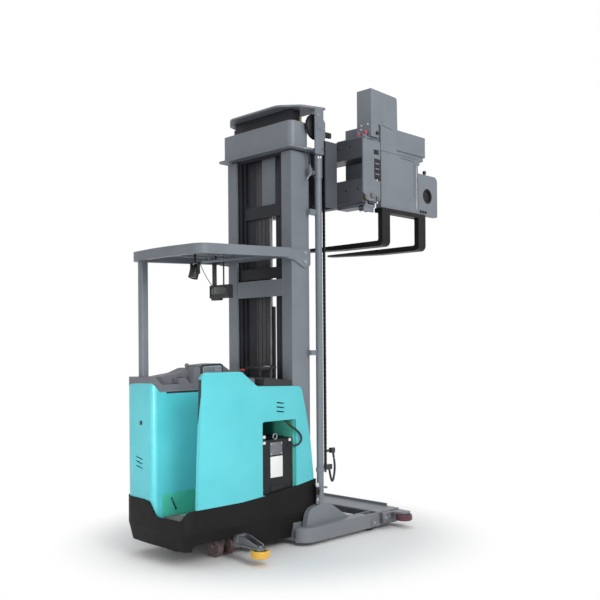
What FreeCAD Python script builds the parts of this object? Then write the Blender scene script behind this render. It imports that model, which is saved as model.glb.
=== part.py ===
import FreeCAD, Part
import math
import os

from FreeCAD import Vector

# Stand-on turret truck with a triple mast, millimetres.
# +X is the way the legs point, +Y is the truck's left, +Z is up.
# The origin is on the floor, in the middle of the truck's length and width.

# ---------------------------------------------------------------- body sizes
body_half = 400            # half of the body's width
body_rear = -1255          # rearmost line of the body
body_front = 55            # front end of the skirt
rear_bow = 30              # how far the rear face bows out in the middle
corner_right = 80          # plan radius of the right rear corner
corner_left = 150          # plan radius of the left rear corner

skirt_wall = 12
skirt_bottom = 60
skirt_raise = 165          # lower edge of the skirt over the casters
skirt_fold = 250           # height where the skirt starts to lean inwards
skirt_lean = 45            # how far it leans in at its lower edge
skirt_top_rear = 413       # top edge of the skirt at the right panel's rear end
skirt_top_front = 494      # top edge of the skirt at its front end
skirt_top_left = 447       # top edge of the skirt under the rear cover
step_height = 339          # top edge of the skirt at the way in
caster_cut_rear = -1170
caster_cut_front = -640

panel_skin = 16            # thickness of the side panels
lining = 14                # inner lining of the panel beside the operator
cover_height = 1290        # top of the drive unit's rear column
hood_height = cover_height - 35        # top of the side panels along the hood
wall_height = cover_height - 64        # top of the wall beside the operator
shoulder_height = cover_height + 79    # top of the right panel beside the operator
panel_rear_low = -1140
panel_rear_high = -1096
cover_seam = -1060         # where the rear cover meets the left side panel
shoulder_front = -728
hood_rear = -573
hood_front = -105
vent_count = 3
vent_height = 10
vent_pitch = 33

bay_rear = -522            # opening in the side panel for the battery
bay_front = -166
bay_bottom = 430
bay_top = hood_height - 270

compartment_wall_y = -28   # right face of the wall beside the operator
compartment_front = -590   # rear face of the bulkhead
cover_wall = 20
cover_slope_rear = -1240   # where the cover's top starts to slope down to the wall
cover_slope_front = -1188
floor_height = 308
mat_thickness = 12
bulkhead_thickness = 15

battery_rear = -545
battery_front = -195
battery_side_gap = 8
battery_height = 409
tray_thickness = 25
motor_radius = 105
motor_height = 330
deck_rear = -1120
drive_plate_height = 360
drive_plate_thickness = 25
beam_depth = 90

console_rim = 45           # how far the console's rear rim stands over the column
console_top = 1404         # highest line of the console beside the operator
hump_side = 62             # right face of the hump behind the terrace
hump_left = 200            # left face of the hump, where the low shelf starts
pod_side = 185             # left face of the display's housing
hood_crest_rear = -492     # rear face of the hood cover's raised part
hood_rise = 64             # how far it stands over the side panels there
board_rear = -420          # writing board on the hood
board_front = -235
board_right = -255
board_left = -95
board_height = 1378
dash_front = hood_rear + 10
knob_x = -846
knob_y = 96
cable_radius = 8
hose_radius = 9

# ------------------------------------------------------------ overhead guard
guard_half = body_half + 29
guard_rear = -1178
guard_front = -236
guard_bow = 50
guard_corner = 90
guard_top_rear = 2277
guard_top_front = 2314
guard_depth = 72
guard_rim = 46
guard_skin = 8
guard_post_x = -1090
guard_post_y = 313
guard_post_side = 60
lamp_x = -992
lamp_y = -200
lamp_height = 2112         # height of the lamp's pivot
lamp_lean = 19
box_x = -495
box_right = -10
box_left = 219
box_bottom = 1937
arm_front = 18
arm_plate = 14

# ------------------------------------------------------- mast, nested stages
mast_half = body_half - 22  # outer faces of the outer uprights
mast_rear = -181
mast_front = 15
upright_flange = 109       # width of the outer uprights' flanges
upright_plate = 16
upright_foot = 55
upright_top = 3088
stage_gap = 6              # room between the faces of nested channels
web_gap = 10               # room between their webs
pad_gap = 0.4              # room between a wear pad or roller and its track
stage_plate = 13
stage2_flange = 116
stage3_flange = 124
stage2_bottom = 75
stage3_bottom = 95
stage2_top = 3314
mast_travel = 2200         # lift of each of the two moving stages
carriage_drop = 2180       # how far the carriage runs down stage 3

collar_height = 3099       # under side of the flange on stage 2
collar_thickness = 15
collar_half = mast_half + 59
collar_rear = -243
band_half = mast_half + 36
band_rear = -212
band_front = -36
band_plate = 21
band_corner = 50

top_plate_height = 3445
top_plate_thickness = 15
top_plate_half = mast_half + 125
top_plate_rear = -108
top_plate_front = 100
pulley_radius = 100
pulley_width = 24
pulley_y = mast_half + 62
pulley_x = 30
pulley_height = 3290
bracket_plate = 12
chain_foot = 600           # lower end of the lift chain
hose_x = 160               # hose that comes down beside the chain
outer_hose_x = 208
loop_bottom = 462

cylinder_x = 77
cylinder_y = mast_half + 48
cylinder_radius = 28
cylinder_head_radius = 34
cylinder_top = 3076
lift_rod_radius = 18
lift_rod_gap = 2
lift_rod_neck = 14
gland_length = 60
gland_gap = 0.1            # radial room between a rod and its gland
ram_cylinder_radius = 50
ram_rod_radius = 28
ram_x = -62
ram_bottom = 160
ram_cylinder_top = 1880
ram_crosshead_top = 3060
ram_travel = carriage_drop / 2

# ------------------------------------------------- legs and front cross-beam
leg_inner = mast_half + 42
leg_outer = leg_inner + 104
leg_rear = -201
leg_front = 702
leg_bottom = 31
leg_top = 145
leg_corner = 100
foot_outer = mast_half + 73
foot_rear = -108
foot_front = 387
foot_height = 300
front_beam_end = 966
beam_lip_half = leg_inner - 23
beam_lip_height = 22
load_wheel_x = 620
load_wheel_y = leg_inner + 50
load_wheel_radius = 68
load_wheel_width = 60
wheel_room = 8

# -------------------------------------------------- carriage, head and forks
carriage_x = 225           # rear face of the carriage's front plate
carriage_plate = 28
carriage_half = mast_half + 92
carriage_bottom = 2665
carriage_top = 3192
carriage_side_rear = 119
carriage_side = 12
arm_half = 190             # outer faces of the arms between the channels
arm_thickness = 20
arm_rear = -116
beam_front = 408
beam_right = -734          # ends of the traverse beams
beam_left = 758
upper_beam_bottom = 3041
upper_beam_top = 3197
lower_beam_bottom = 2689
lower_beam_top = 2877
hose_notch_top = lower_beam_top + 50   # top of the carriage's notches over the hose clamps
groove_rear = 300
groove_front = 340
groove_depth = 27
end_plate = 12
end_plate_rear = 257
end_plate_front = 468
end_plate_bottom = 2706
traverse_travel = 1176

head_rear = 413
head_front = 450
head_right = -724
head_left = -424
head_bottom = 2700
hook_gap = 8
hook_plate = 18
keeper_side_gap = 8
arm_bottom = 3166
arm_top = 3331
arm_end = 1100
arm_left = -534
head_side = -746
cover_rear = 356
cover_front = 697
cover_left = -599
cover_top = 3605
collar_drop = 34

turret_x = 868
turret_y = -640
turret_gap = 7
swing_rear = 480
swing_front = 945
swing_bottom = 2665
swing_plate = 36
swing_left = -560
fork_plate_rear = 976
fork_plate_front = 1255
fork_plate_top = 3016
eye_x = 1110
eye_height = 2836
eye_radius = 65
guide_rod_radius = 15
fork_rear_x = 511
fork_front_x = 997
fork_width = 100
fork_back = -770
fork_length = 1070
fork_thickness = 45
fork_tip = 14
blade_top = 2402
fork_bar_bottom = 2630

# -------------------------------------------------------------- running gear
pin_gap = 0.05             # radial clearance of pins and axles
drive_x = -900
drive_y = 150
drive_radius = 160
drive_width = 90
drive_axle = 22
steer_radius = 95
caster_x = -771
caster_y = -180
caster_trail = 28
caster_radius = 76
caster_width = 52
caster_spacing = 60
caster_axle = 12
guide_roller_radius = 69
guide_roller_width = 52
rear_roller_x = -762
front_roller_x = 905
guide_roller_y = leg_outer + 104
rear_roller_bottom = 56
front_roller_bottom = 62
roller_pin = 12
roller_plate = 16


# ------------------------------------------------------------------- helpers
def box(x0, x1, y0, y1, z0, z1):
    return Part.makeBox(x1 - x0, y1 - y0, z1 - z0, Vector(x0, y0, z0))


def rod(x, y, z, radius, length, axis="z"):
    direction = {"x": Vector(1, 0, 0), "y": Vector(0, 1, 0), "z": Vector(0, 0, 1)}[axis]
    return Part.makeCylinder(radius, length, Vector(x, y, z), direction)


def rounded_wire(corners, place):
    """A closed outline of straight sides; each corner is (u, v) or (u, v, radius)."""
    points = [Vector(c[0], c[1], 0) for c in corners]
    radii = [c[2] if len(c) > 2 else 0 for c in corners]
    edges = []
    starts = []
    ends = []
    for i, point in enumerate(points):
        before = (points[i - 1] - point).normalize()
        after = (points[(i + 1) % len(points)] - point).normalize()
        if radii[i] == 0:
            starts.append(point)
            ends.append(point)
            edges.append(None)
            continue
        half = before.getAngle(after) / 2
        reach = radii[i] / math.tan(half)
        start = point + before * reach
        end = point + after * reach
        inward = (before + after).normalize()
        middle = point + inward * (radii[i] / math.sin(half) - radii[i])
        starts.append(start)
        ends.append(end)
        edges.append(Part.Arc(place(start), place(middle), place(end)).toShape())
    outline = []
    for i in range(len(points)):
        if edges[i] is not None:
            outline.append(edges[i])
        following = (i + 1) % len(points)
        if ends[i].distanceToPoint(starts[following]) > 1e-6:
            outline.append(Part.LineSegment(place(ends[i]), place(starts[following])).toShape())
    return Part.Wire(outline)


def prism_z(corners, z0, z1):
    wire = rounded_wire(corners, lambda p: Vector(p.x, p.y, z0))
    return Part.Face(wire).extrude(Vector(0, 0, z1 - z0))


def prism_y(corners, y0, y1):
    wire = rounded_wire(corners, lambda p: Vector(p.x, y0, p.y))
    return Part.Face(wire).extrude(Vector(0, y1 - y0, 0))


def prism_x(corners, x0, x1):
    wire = rounded_wire(corners, lambda p: Vector(x0, p.x, p.y))
    return Part.Face(wire).extrude(Vector(x1 - x0, 0, 0))


def mirrored(shape):
    return shape.mirror(Vector(0, 0, 0), Vector(0, 1, 0))


def turned(profile, axis_point, axis):
    """Revolve a closed (radius, height) outline about an axis through axis_point."""
    place = {
        "z": lambda p: axis_point + Vector(p.x, 0, p.y),
        "y": lambda p: axis_point + Vector(p.x, p.y, 0),
        "x": lambda p: axis_point + Vector(p.y, p.x, 0),
    }[axis]
    direction = {"x": Vector(1, 0, 0), "y": Vector(0, 1, 0), "z": Vector(0, 0, 1)}[axis]
    face = Part.Face(rounded_wire(profile, place))
    return face.revolve(axis_point, direction, 360)


def pipe(points, radius):
    """A round hose along a smooth curve through the points."""
    curve = Part.BSplineCurve()
    curve.interpolate([Vector(*p) for p in points])
    spine = Part.Wire(curve.toShape())
    start = curve.tangent(curve.FirstParameter)[0]
    ring = Part.Wire(Part.makeCircle(radius, Vector(*points[0]), start))
    return spine.makePipeShell([ring], True, True)


nodes = {}


def keep(name, shape):
    shape = shape.removeSplitter()
    nodes[name] = shape
    shape.exportStep("parts/" + name + ".step")


# ---------------------------------------------------------------------- body
bow_radius = 0.5 * body_half * body_half / rear_bow
bow_angle = math.atan(rear_bow / body_half)
bow_corner = body_rear - bow_radius * (1 / math.cos(bow_angle) - 1)


def body_plan(inset):
    """Plan outline of the body, moved inwards by inset."""
    side = body_half - inset
    return [
        (body_front - inset, -side),
        (bow_corner + rear_bow + inset, -side, corner_right - inset),
        (bow_corner + inset, 0, bow_radius),
        (bow_corner + rear_bow + inset, side, corner_left - inset),
        (body_front - inset, side),
    ]


def leaning_shell(inset):
    """Body outline from the skirt's lower edge up, leaning in below the fold."""
    shell = prism_z(body_plan(inset), skirt_bottom, skirt_top_front + 20)
    foot_edges = [edge for edge in shell.Edges
                  if edge.BoundBox.ZMax < skirt_bottom + 1 and edge.BoundBox.XMin < body_rear / 2]
    return shell.makeChamfer(skirt_fold - skirt_bottom, skirt_lean, foot_edges)


def side_top_profile(top):
    """Everything above the line where the side panels meet the skirt."""
    return [
        (body_front + 50, skirt_top_front),
        (31, skirt_top_front),
        (-180, skirt_top_front - 31),
        (bay_rear, skirt_top_rear + 14),
        (-735, skirt_top_rear),
        (panel_rear_low, skirt_top_rear),
        (panel_rear_low, top),
        (body_front + 50, top),
    ]


def make_skirt():
    shell = leaning_shell(0).cut(leaning_shell(skirt_wall))
    shell = shell.cut(prism_y(side_top_profile(900), -body_half - 20, body_half + 20))
    way_in = [
        (body_half + 20, 900),
        (body_half + 20, skirt_top_left),
        (20, skirt_top_left - 5, 60),
        (-60, step_height, 60),
        (-330, step_height, 40),
        (-385, skirt_top_rear, 40),
        (-body_half - 20, skirt_top_rear),
        (-body_half - 20, 900),
    ]
    shell = shell.cut(prism_x(way_in, body_rear - 20, panel_rear_low))
    front_open = box(body_front - skirt_wall - 1, body_front + 1, skirt_wall - body_half,
                     body_half - skirt_wall, 0, 900)
    caster_room = prism_y([
        (caster_cut_rear, 0), (caster_cut_rear, skirt_raise, 25),
        (caster_cut_front, skirt_raise, 40), (caster_cut_front + 60, 0)],
        -body_half - 20, body_half + 20)
    rear_room = box(body_rear - 20, caster_cut_rear + 20, -body_half, body_half, 0, 124)
    mast_room = box(mast_rear - stage_gap, body_front, -mast_half - 4, mast_half + 4, 0, skirt_fold)
    return shell.cut(front_open).cut(caster_room).cut(rear_room).cut(mast_room)


def vent_cutters(y0, y1, rear, front, top, slope):
    slots = []
    for i in range(vent_count):
        z = top - i * vent_pitch
        slots.append(prism_y([
            (rear, z), (front, z - slope), (front, z - slope - vent_height),
            (rear, z - vent_height)], y0, y1))
    return slots


def side_panel(tall):
    """The right panel; the left one has no tall shoulder and no lining."""
    nose = hood_height - skirt_top_front
    if tall:
        rear = [(panel_rear_low, skirt_top_rear), (panel_rear_high, shoulder_height, 50),
                (shoulder_front, shoulder_height, 60)]
    else:
        rear = [(cover_seam, skirt_top_rear), (cover_seam, wall_height),
                (shoulder_front, wall_height, 60)]
    outline = rear + [
        (hood_rear, hood_height, 60),
        (hood_front, hood_height - 14, 60),
        (-50, skirt_top_front + 0.69 * nose, 200),
        (-4, skirt_top_front + 0.4 * nose, 300),
        (31, skirt_top_front),
        (-180, skirt_top_front - 31),
        (bay_rear, skirt_top_rear + 14),
        (-735, skirt_top_rear),
    ]
    panel = prism_y(outline, -body_half, -body_half + panel_skin)
    if tall:
        lining_area = box(panel_rear_low - 20, compartment_front + bulkhead_thickness,
                          -body_half, -body_half + panel_skin + lining, 0, 2000)
        panel = panel.fuse(prism_y(outline, -body_half + panel_skin,
                                   -body_half + panel_skin + lining).common(lining_area))
    bay = prism_y([
        (bay_rear, bay_bottom), (bay_rear, bay_top, 18), (bay_front, bay_top, 8),
        (bay_front, bay_bottom)], -body_half - 1, -body_half + panel_skin + 1)
    panel = panel.cut(bay)
    for slot in vent_cutters(-body_half - 1, -body_half + panel_skin + 1, -374, -294,
                             hood_height - 126, 10):
        panel = panel.cut(slot)
    return panel


def cover_plan(inset):
    """Plan outline of the drive unit's cover, moved inwards by inset."""
    front = compartment_front + bulkhead_thickness
    side = body_half - panel_skin
    return [
        (front + inset, compartment_wall_y + inset),
        (body_rear + 6 + inset, compartment_wall_y + inset, 40 - inset / 2),
        (body_rear + rear_bow + inset, body_half - inset, corner_left - inset),
        (cover_seam, body_half - inset),
        (cover_seam, side - inset),
        (front + inset, side - inset)]


def above_cover(drop):
    """All that is above the cover's top, which slopes from its rear column to its wall."""
    top = cover_height + 1
    front = compartment_front + bulkhead_thickness + 1
    return prism_y([
        (cover_slope_rear - drop, top), (cover_slope_rear - drop, cover_height),
        (cover_slope_front - drop, wall_height - drop), (front, wall_height - drop),
        (front, top)], -body_half - 1, body_half + 1)


def make_rear_cover():
    """Cover of the drive unit: rear column, left corner, top and compartment wall."""
    cover = prism_z(cover_plan(0), floor_height, cover_height).cut(above_cover(0))
    hollow = prism_z(cover_plan(cover_wall), floor_height - 1, cover_height - cover_wall)
    cover = cover.cut(hollow.cut(above_cover(cover_wall)))
    front_open = box(compartment_front, compartment_front + 100, compartment_wall_y + cover_wall,
                     body_half - panel_skin - cover_wall, 0, wall_height - cover_wall)
    web_notch = box(compartment_front, 0, compartment_wall_y - 1, compartment_wall_y + cover_wall + 1,
                    0, bay_bottom)
    behind_skirt = box(body_rear - 20, panel_rear_low, compartment_wall_y + cover_wall,
                       body_half + 1, 0, skirt_top_left)
    low_side = box(panel_rear_low - 1, 0, compartment_wall_y + cover_wall,
                   body_half + 1, 0, skirt_top_left)
    corner_foot = box(body_rear - 20, panel_rear_low, compartment_wall_y - 1,
                      compartment_wall_y + cover_wall + 1, 0, skirt_top_left)
    cover = cover.cut(front_open).cut(behind_skirt).cut(low_side).cut(corner_foot).cut(web_notch)
    for i in range(vent_count):
        z = wall_height - 472 - i * vent_pitch
        cover = cover.cut(prism_x([
            (116, z - 16), (208, z), (208, z - vent_height), (116, z - 16 - vent_height)],
            body_rear - 30, body_rear + 60))
    return cover


keep("skirt", make_skirt())
keep("side_panel_right", side_panel(True))
keep("side_panel_left", mirrored(side_panel(False)))
keep("rear_cover", make_rear_cover())


# ------------------------------------------------------------- chassis frame
def make_chassis_frame():
    inner = body_half - panel_skin
    front = compartment_front + bulkhead_thickness
    floor = box(body_rear, front, -body_half, compartment_wall_y + cover_wall + 12,
                floor_height - 18, floor_height).common(leaning_shell(skirt_wall))
    wall_face = compartment_wall_y + cover_wall
    deck_side = body_half - panel_skin - cover_wall
    deck_top = drive_plate_height + drive_plate_thickness
    riser = box(deck_rear, compartment_front + bulkhead_thickness, wall_face, wall_face + 12,
                floor_height - 18, deck_top)
    deck = box(deck_rear, compartment_front + bulkhead_thickness, wall_face, deck_side,
               drive_plate_height, deck_top)
    deck = deck.common(leaning_shell(skirt_wall))
    tray = box(front, mast_rear, -inner, inner, bay_bottom - tray_thickness, bay_bottom)
    tray_web = box(compartment_front, front, lining - inner, inner,
                   floor_height - beam_depth - 18, bay_bottom)
    tray_web = tray_web.common(leaning_shell(skirt_wall))
    bulkhead = box(compartment_front, compartment_front + bulkhead_thickness,
                   -inner + lining, compartment_wall_y, floor_height, hood_height - 14)
    frame = floor.fuse([riser, deck, tray, tray_web, bulkhead])
    for side in (-1, 1):
        rear = deck_rear if side < 0 else compartment_front
        beam = box(rear, mast_rear, 300, 330, floor_height - 18 - beam_depth, floor_height - 18)
        post = box(mast_rear - 60, mast_rear, 300, 330, upright_foot, bay_bottom)
        beam = beam.fuse(post)
        frame = frame.fuse(beam if side > 0 else mirrored(beam))
    stem_hole = rod(caster_x, caster_y, floor_height - 40, guide_rod_radius + 5 + pin_gap, 80)
    return frame.cut(stem_hole)


keep("chassis_frame", make_chassis_frame())
keep("floor_mat", box(body_rear + rear_bow + 60, compartment_front - 5,
                      -body_half + panel_skin + lining + 5, compartment_wall_y - 5,
                      floor_height, floor_height + mat_thickness))


# --------------------------------------------------- console, hood, controls
def make_console():
    """Control console: a terrace beside the operator, a hump behind it and a padded dash."""
    side = body_half - panel_skin - 4
    near = compartment_wall_y + 2
    terrace = cover_height - 10
    saddle = cover_height + console_rim
    floor_line = [
        (dash_front, wall_height), (cover_slope_front, wall_height),
        (cover_slope_rear, cover_height), (body_rear + 10, cover_height)]
    base = prism_y(floor_line + [
        (body_rear + 12, saddle - 2), (cover_slope_rear + 20, saddle, 8),
        (cover_slope_front + 18, terrace, 30), (dash_front, terrace)], near, hump_side)
    hump = prism_y(floor_line + [
        (body_rear + 12, saddle - 2), (-1120, saddle, 80), (-950, saddle + 22, 200),
        (-850, console_top - 12, 40), (-790, console_top - 10, 30), (-770, terrace, 20),
        (dash_front, terrace)], hump_side, hump_left)
    shelf = prism_y(floor_line + [
        (body_rear + 12, saddle - 2), (-1000, saddle - 8, 80), (-800, terrace, 80),
        (dash_front, terrace)], hump_left, side)
    tower = prism_y([
        (-888, terrace - 2), (-874, terrace + 30, 20), (-862, console_top, 14),
        (-812, console_top - 4, 14), (-804, terrace - 2)], near + 4, hump_side)
    armrest = prism_y([
        (-1004, terrace - 2), (-1010, terrace + 46, 12), (-930, terrace + 40, 20),
        (-900, terrace - 2)], near + 16, hump_side - 8)
    dash = prism_y([
        (compartment_front - 150, wall_height), (compartment_front - 60, cover_height + 32, 50),
        (dash_front, cover_height + 22, 20), (dash_front, wall_height)], lining + 4 - side, near)
    dash = dash.cut(box(compartment_front, 0, -body_half, 0, 0, hood_height - 14))
    post_room = box(guard_post_x - guard_post_side / 2, guard_post_x + guard_post_side / 2,
                    guard_post_y - guard_post_side / 2, guard_post_y + guard_post_side / 2,
                    wall_height - 1, console_top + 100)
    outline = prism_z(body_plan(8), wall_height, console_top + 1)
    rear = base.fuse([hump, shelf, tower, armrest]).common(outline)
    return rear.fuse(dash).cut(post_room)


def make_hood_cover():
    """Moulded cover over the battery, raised from the display to the mast."""
    side = body_half - panel_skin
    crest = hood_height + hood_rise
    front = mast_rear - stage_gap
    cover = prism_y([
        (hood_rear + 10, hood_height - 14), (hood_rear + 10, hood_height + 4),
        (hood_crest_rear, hood_height + 4), (hood_crest_rear + 8, crest, 16),
        (front - 8, crest - 34, 12), (front, hood_height - 60),
        (front - cover_wall, hood_height - 60), (front - cover_wall, hood_height - 14)], -side, side)
    hollow = prism_y([
        (hood_crest_rear + 30, hood_height - 20), (hood_crest_rear + 30, crest - cover_wall),
        (front - 30, crest - 34 - cover_wall), (front - 30, hood_height - 20)],
        cover_wall - side, side - cover_wall)
    return cover.cut(hollow)


def make_display_pod():
    """The steering display in its raised frame, with the lift lever's knob beside it."""
    low = cover_height - 12
    pod = prism_y([
        (-790, low), (-796, console_top + 8, 14), (-600, console_top + 20, 40),
        (-500, console_top - 40, 20), (-520, low)], compartment_wall_y + 20, pod_side)
    screen = box(-800, -784, compartment_wall_y + 34, pod_side - 14, low + 30, console_top - 12)
    lever = rod(knob_x, knob_y, console_top - 60, 7, 70)
    ball = Part.makeSphere(17, Vector(knob_x, knob_y, console_top + 8))
    return pod.cut(screen).fuse([lever, ball])


keep("console", make_console().fuse(make_display_pod()))


def make_clipboard():
    """A hinged writing board on a folded bracket, on top of the hood."""
    board = box(board_rear, board_front, board_right, board_left, board_height, board_height + 14)
    lip = box(board_front - 8, board_front, board_right, board_left, board_height, board_height + 26)
    middle = (board_rear + board_front) / 2
    foot = hood_height + hood_rise - 40
    bracket = prism_y([
        (middle - 52, foot), (middle - 62, board_height - 30, 10),
        (middle - 62, board_height + 1), (middle + 62, board_height + 1),
        (middle + 62, board_height - 30, 10), (middle + 52, foot)],
        board_right + 30, board_left - 30)
    inner = prism_y([
        (middle - 38, foot - 1), (middle - 46, board_height - 16),
        (middle + 46, board_height - 16), (middle + 38, foot - 1)],
        board_right + 29, board_left - 29)
    return board.fuse([lip, bracket.cut(inner)])


keep("hood_cover", make_hood_cover().fuse(make_clipboard()))


# ------------------------------------------------------------- heavy inside
def make_battery():
    half = body_half - panel_skin - battery_side_gap
    case = box(battery_rear, battery_front, -half, half, bay_bottom, bay_bottom + battery_height)
    return case.makeFillet(10, [e for e in case.Edges if abs(e.BoundBox.ZLength - battery_height) < 1])


keep("battery", make_battery())


def make_battery_cable():
    """The power cable: out of the opening under the hood, round, and into the battery's side."""
    face = -body_half + panel_skin + battery_side_gap
    cable = pipe([
        (bay_front - 80, face + 24, bay_top + 4), (bay_front - 68, face + 8, bay_top - 24),
        (bay_front - 36, face - 26, bay_top - 64), (bay_front + 14, face - 42, bay_top - 108),
        (bay_front + 36, face - 44, bay_top - 153), (bay_front + 16, face - 42, bay_top - 190),
        (bay_front - 24, face - 26, bay_top - 204), (bay_front - 48, face - 6, bay_top - 202)],
        cable_radius)
    socket = box(bay_front - 96, bay_front - 66, face + 10, face + 40, bay_top - 8, bay_top + 40)
    plug = box(bay_front - 68, bay_front - 42, face - 7, face, bay_top - 218, bay_top - 186)
    return cable.fuse([socket, plug])


keep("battery_cable", make_battery_cable())
keep("drive_motor", rod(drive_x, drive_y, drive_plate_height + drive_plate_thickness,
                        motor_radius, motor_height))


# ------------------------------------------------------------ overhead guard
def guard_plan(inset, front):
    half = guard_half - inset
    return [
        (front, -half), (guard_rear + guard_bow + inset, -half, guard_corner - inset),
        (guard_rear + inset, 0, 1500), (guard_rear + guard_bow + inset, half, guard_corner - inset),
        (front, half)]


def guard_slab(depth, lift=0):
    """A sloping slab with its top on the guard's roof line."""
    slope = (guard_top_front - guard_top_rear) / (guard_front - guard_rear)

    def roof(x):
        return guard_top_rear + slope * (x - guard_rear) - lift
    x0 = guard_rear - 50
    x1 = arm_front + 50
    return prism_y([(x0, roof(x0)), (x1, roof(x1)), (x1, roof(x1) - depth), (x0, roof(x0) - depth)],
                   -guard_half - 50, guard_half + 50)


def make_guard_roof():
    low = guard_top_rear - 200
    high = guard_top_front + 100
    rim = prism_z(guard_plan(0, guard_front), low, high)
    rim = rim.cut(prism_z(guard_plan(guard_rim, guard_front - guard_rim), low - 1, high + 1))
    rim = rim.common(guard_slab(guard_depth))
    skin = prism_z(guard_plan(0, guard_front), low, high).common(guard_slab(guard_skin))
    roof = rim.fuse(skin)
    for y in (-200, 0, 200):
        bar = box(guard_rear + 60, guard_front, y - 15, y + 15, low, high).common(guard_slab(40))
        roof = roof.fuse(bar)
    arm = prism_y([
        (guard_front - 30, 2600), (arm_front, 2600), (arm_front, 2190, 30),
        (arm_front - 60, 2170, 20), (guard_front + 60, 2232, 60), (guard_front - 30, 2232)],
        mast_half, mast_half + arm_plate)
    arm = arm.common(guard_slab(160))
    web = box(guard_front - 30, guard_front, mast_half, guard_half, low, high).common(
        guard_slab(guard_depth))
    for shape in (arm, web):
        roof = roof.fuse([shape, mirrored(shape)])
    return roof


def make_guard_post():
    half = guard_post_side / 2
    post = prism_z([
        (guard_post_x - half, guard_post_y - half, 12), (guard_post_x + half, guard_post_y - half, 12),
        (guard_post_x + half, guard_post_y + half, 12), (guard_post_x - half, guard_post_y + half, 12)],
        wall_height, guard_top_rear)
    return post.cut(guard_slab(guard_depth + 200, -200))


guard_roof = make_guard_roof()
keep("guard_roof", guard_roof)
keep("guard_post", make_guard_post())


def hung_from_roof(shape):
    """Trim what hangs under the roof to the roof's lower faces."""
    return max(shape.cut(guard_roof).Solids, key=lambda solid: solid.Volume)


def make_work_light():
    """A round spot lamp that leans back on its stem, in a two-cheeked yoke."""
    pivot = Vector(lamp_x, lamp_y, lamp_height)
    shell = turned([
        (0, 40), (16, 40), (30, 22), (35, 0), (35, -62), (31, -62), (28, -52), (0, -52)],
        pivot, "z")
    shell.rotate(pivot, Vector(0, 1, 0), lamp_lean)
    yoke = box(lamp_x - 12, lamp_x + 12, lamp_y - 44, lamp_y + 44, lamp_height - 30, lamp_height + 52)
    yoke = yoke.cut(box(lamp_x - 13, lamp_x + 13, lamp_y - 39, lamp_y + 39,
                        lamp_height - 31, lamp_height + 47))
    bolt = rod(lamp_x, lamp_y - 50, lamp_height - 10, 7, 100, "y")
    stem = rod(lamp_x, lamp_y, lamp_height + 50, 9, 250)
    return shell.fuse([yoke, bolt, stem])


keep("work_light", hung_from_roof(make_work_light()))


def make_equipment_box():
    """A flat terminal that hangs from the guard on one wide and one narrow strap."""
    case = prism_y([
        (box_x - 24, box_bottom + 8), (box_x - 24, box_bottom + 106, 6),
        (box_x + 26, box_bottom + 106, 6), (box_x + 26, box_bottom, 6),
        (box_x - 14, box_bottom, 6)], box_right, box_left)
    bezel = box(box_x - 25, box_x - 20, box_right + 12, box_left - 12,
                box_bottom + 20, box_bottom + 94)
    foot = box(box_x - 14, box_x + 22, box_left - 110, box_left - 10, box_bottom - 14, box_bottom + 1)
    wide = box(box_x, box_x + 6, box_left - 56, box_left - 6, box_bottom + 100, guard_top_front)
    narrow = box(box_x, box_x + 6, box_right + 78, box_right + 90, box_bottom + 100, guard_top_front)
    return case.cut(bezel).fuse([foot, wide, narrow])


keep("equipment_box", hung_from_roof(make_equipment_box()))


# ---------------------------------------------------------------------- mast
def channel(half, rear, front, flange, plate, bottom, top):
    """A left-hand channel, open towards the truck's centre plane."""
    web = box(rear, front, half - plate, half, bottom, top)
    back = box(rear, rear + plate + 2, half - flange, half, bottom, top)
    face = box(front - plate - 2, front, half - flange, half, bottom, top)
    return web.fuse([back, face])


upright_lip = upright_plate + 2
stage_lip = stage_plate + 2
stage2_half = mast_half - upright_plate - web_gap
stage2_rear = mast_rear + upright_lip + stage_gap
stage2_front = mast_front - upright_lip - stage_gap
stage3_half = stage2_half - stage_plate - web_gap
stage3_rear = stage2_rear + stage_lip + stage_gap
stage3_front = stage2_front - stage_lip - stage_gap
stage3_top = top_plate_height - top_plate_thickness

upright = channel(mast_half, mast_rear, mast_front, upright_flange, upright_plate,
                  upright_foot, upright_top)
keep("mast_upright_left", upright)
keep("mast_upright_right", mirrored(upright))

inner_edge = mast_half - upright_flange
ties = box(mast_rear, mast_rear + upright_lip, -inner_edge, inner_edge, 1952, 2087)
ties = ties.fuse(box(mast_rear, mast_rear + upright_lip, -inner_edge, inner_edge, upright_foot, 300))
base = box(mast_rear, 60, -leg_inner, leg_inner, leg_bottom, upright_foot)
keep("mast_ties", ties.fuse(base))


def stage_ties(half, flange, rear, lip, spans):
    edge = half - flange
    return [box(rear, rear + lip, -edge, edge, low, high) for low, high in spans]


pad_length = 160


def runner_pad(outer, thickness, rear, front, bottom):
    """Wear pad on the outer face of a channel's web, near its foot."""
    return box(rear + 30, front - 30, outer, outer + thickness, bottom + 40, bottom + 40 + pad_length)


stage2_channel = channel(stage2_half, stage2_rear, stage2_front, stage2_flange, stage_plate,
                         stage2_bottom, stage2_top - 20)
stage2_channel = stage2_channel.fuse(runner_pad(
    stage2_half, web_gap - pad_gap, stage2_rear, stage2_front, stage2_bottom))
keep("stage2_channel_left", stage2_channel)
keep("stage2_channel_right", mirrored(stage2_channel))


def band_outline(inset):
    half = band_half - inset
    return [
        (band_front, -half), (band_rear + inset, -half, band_corner - inset),
        (band_rear + inset, half, band_corner - inset), (band_front, half)]


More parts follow.
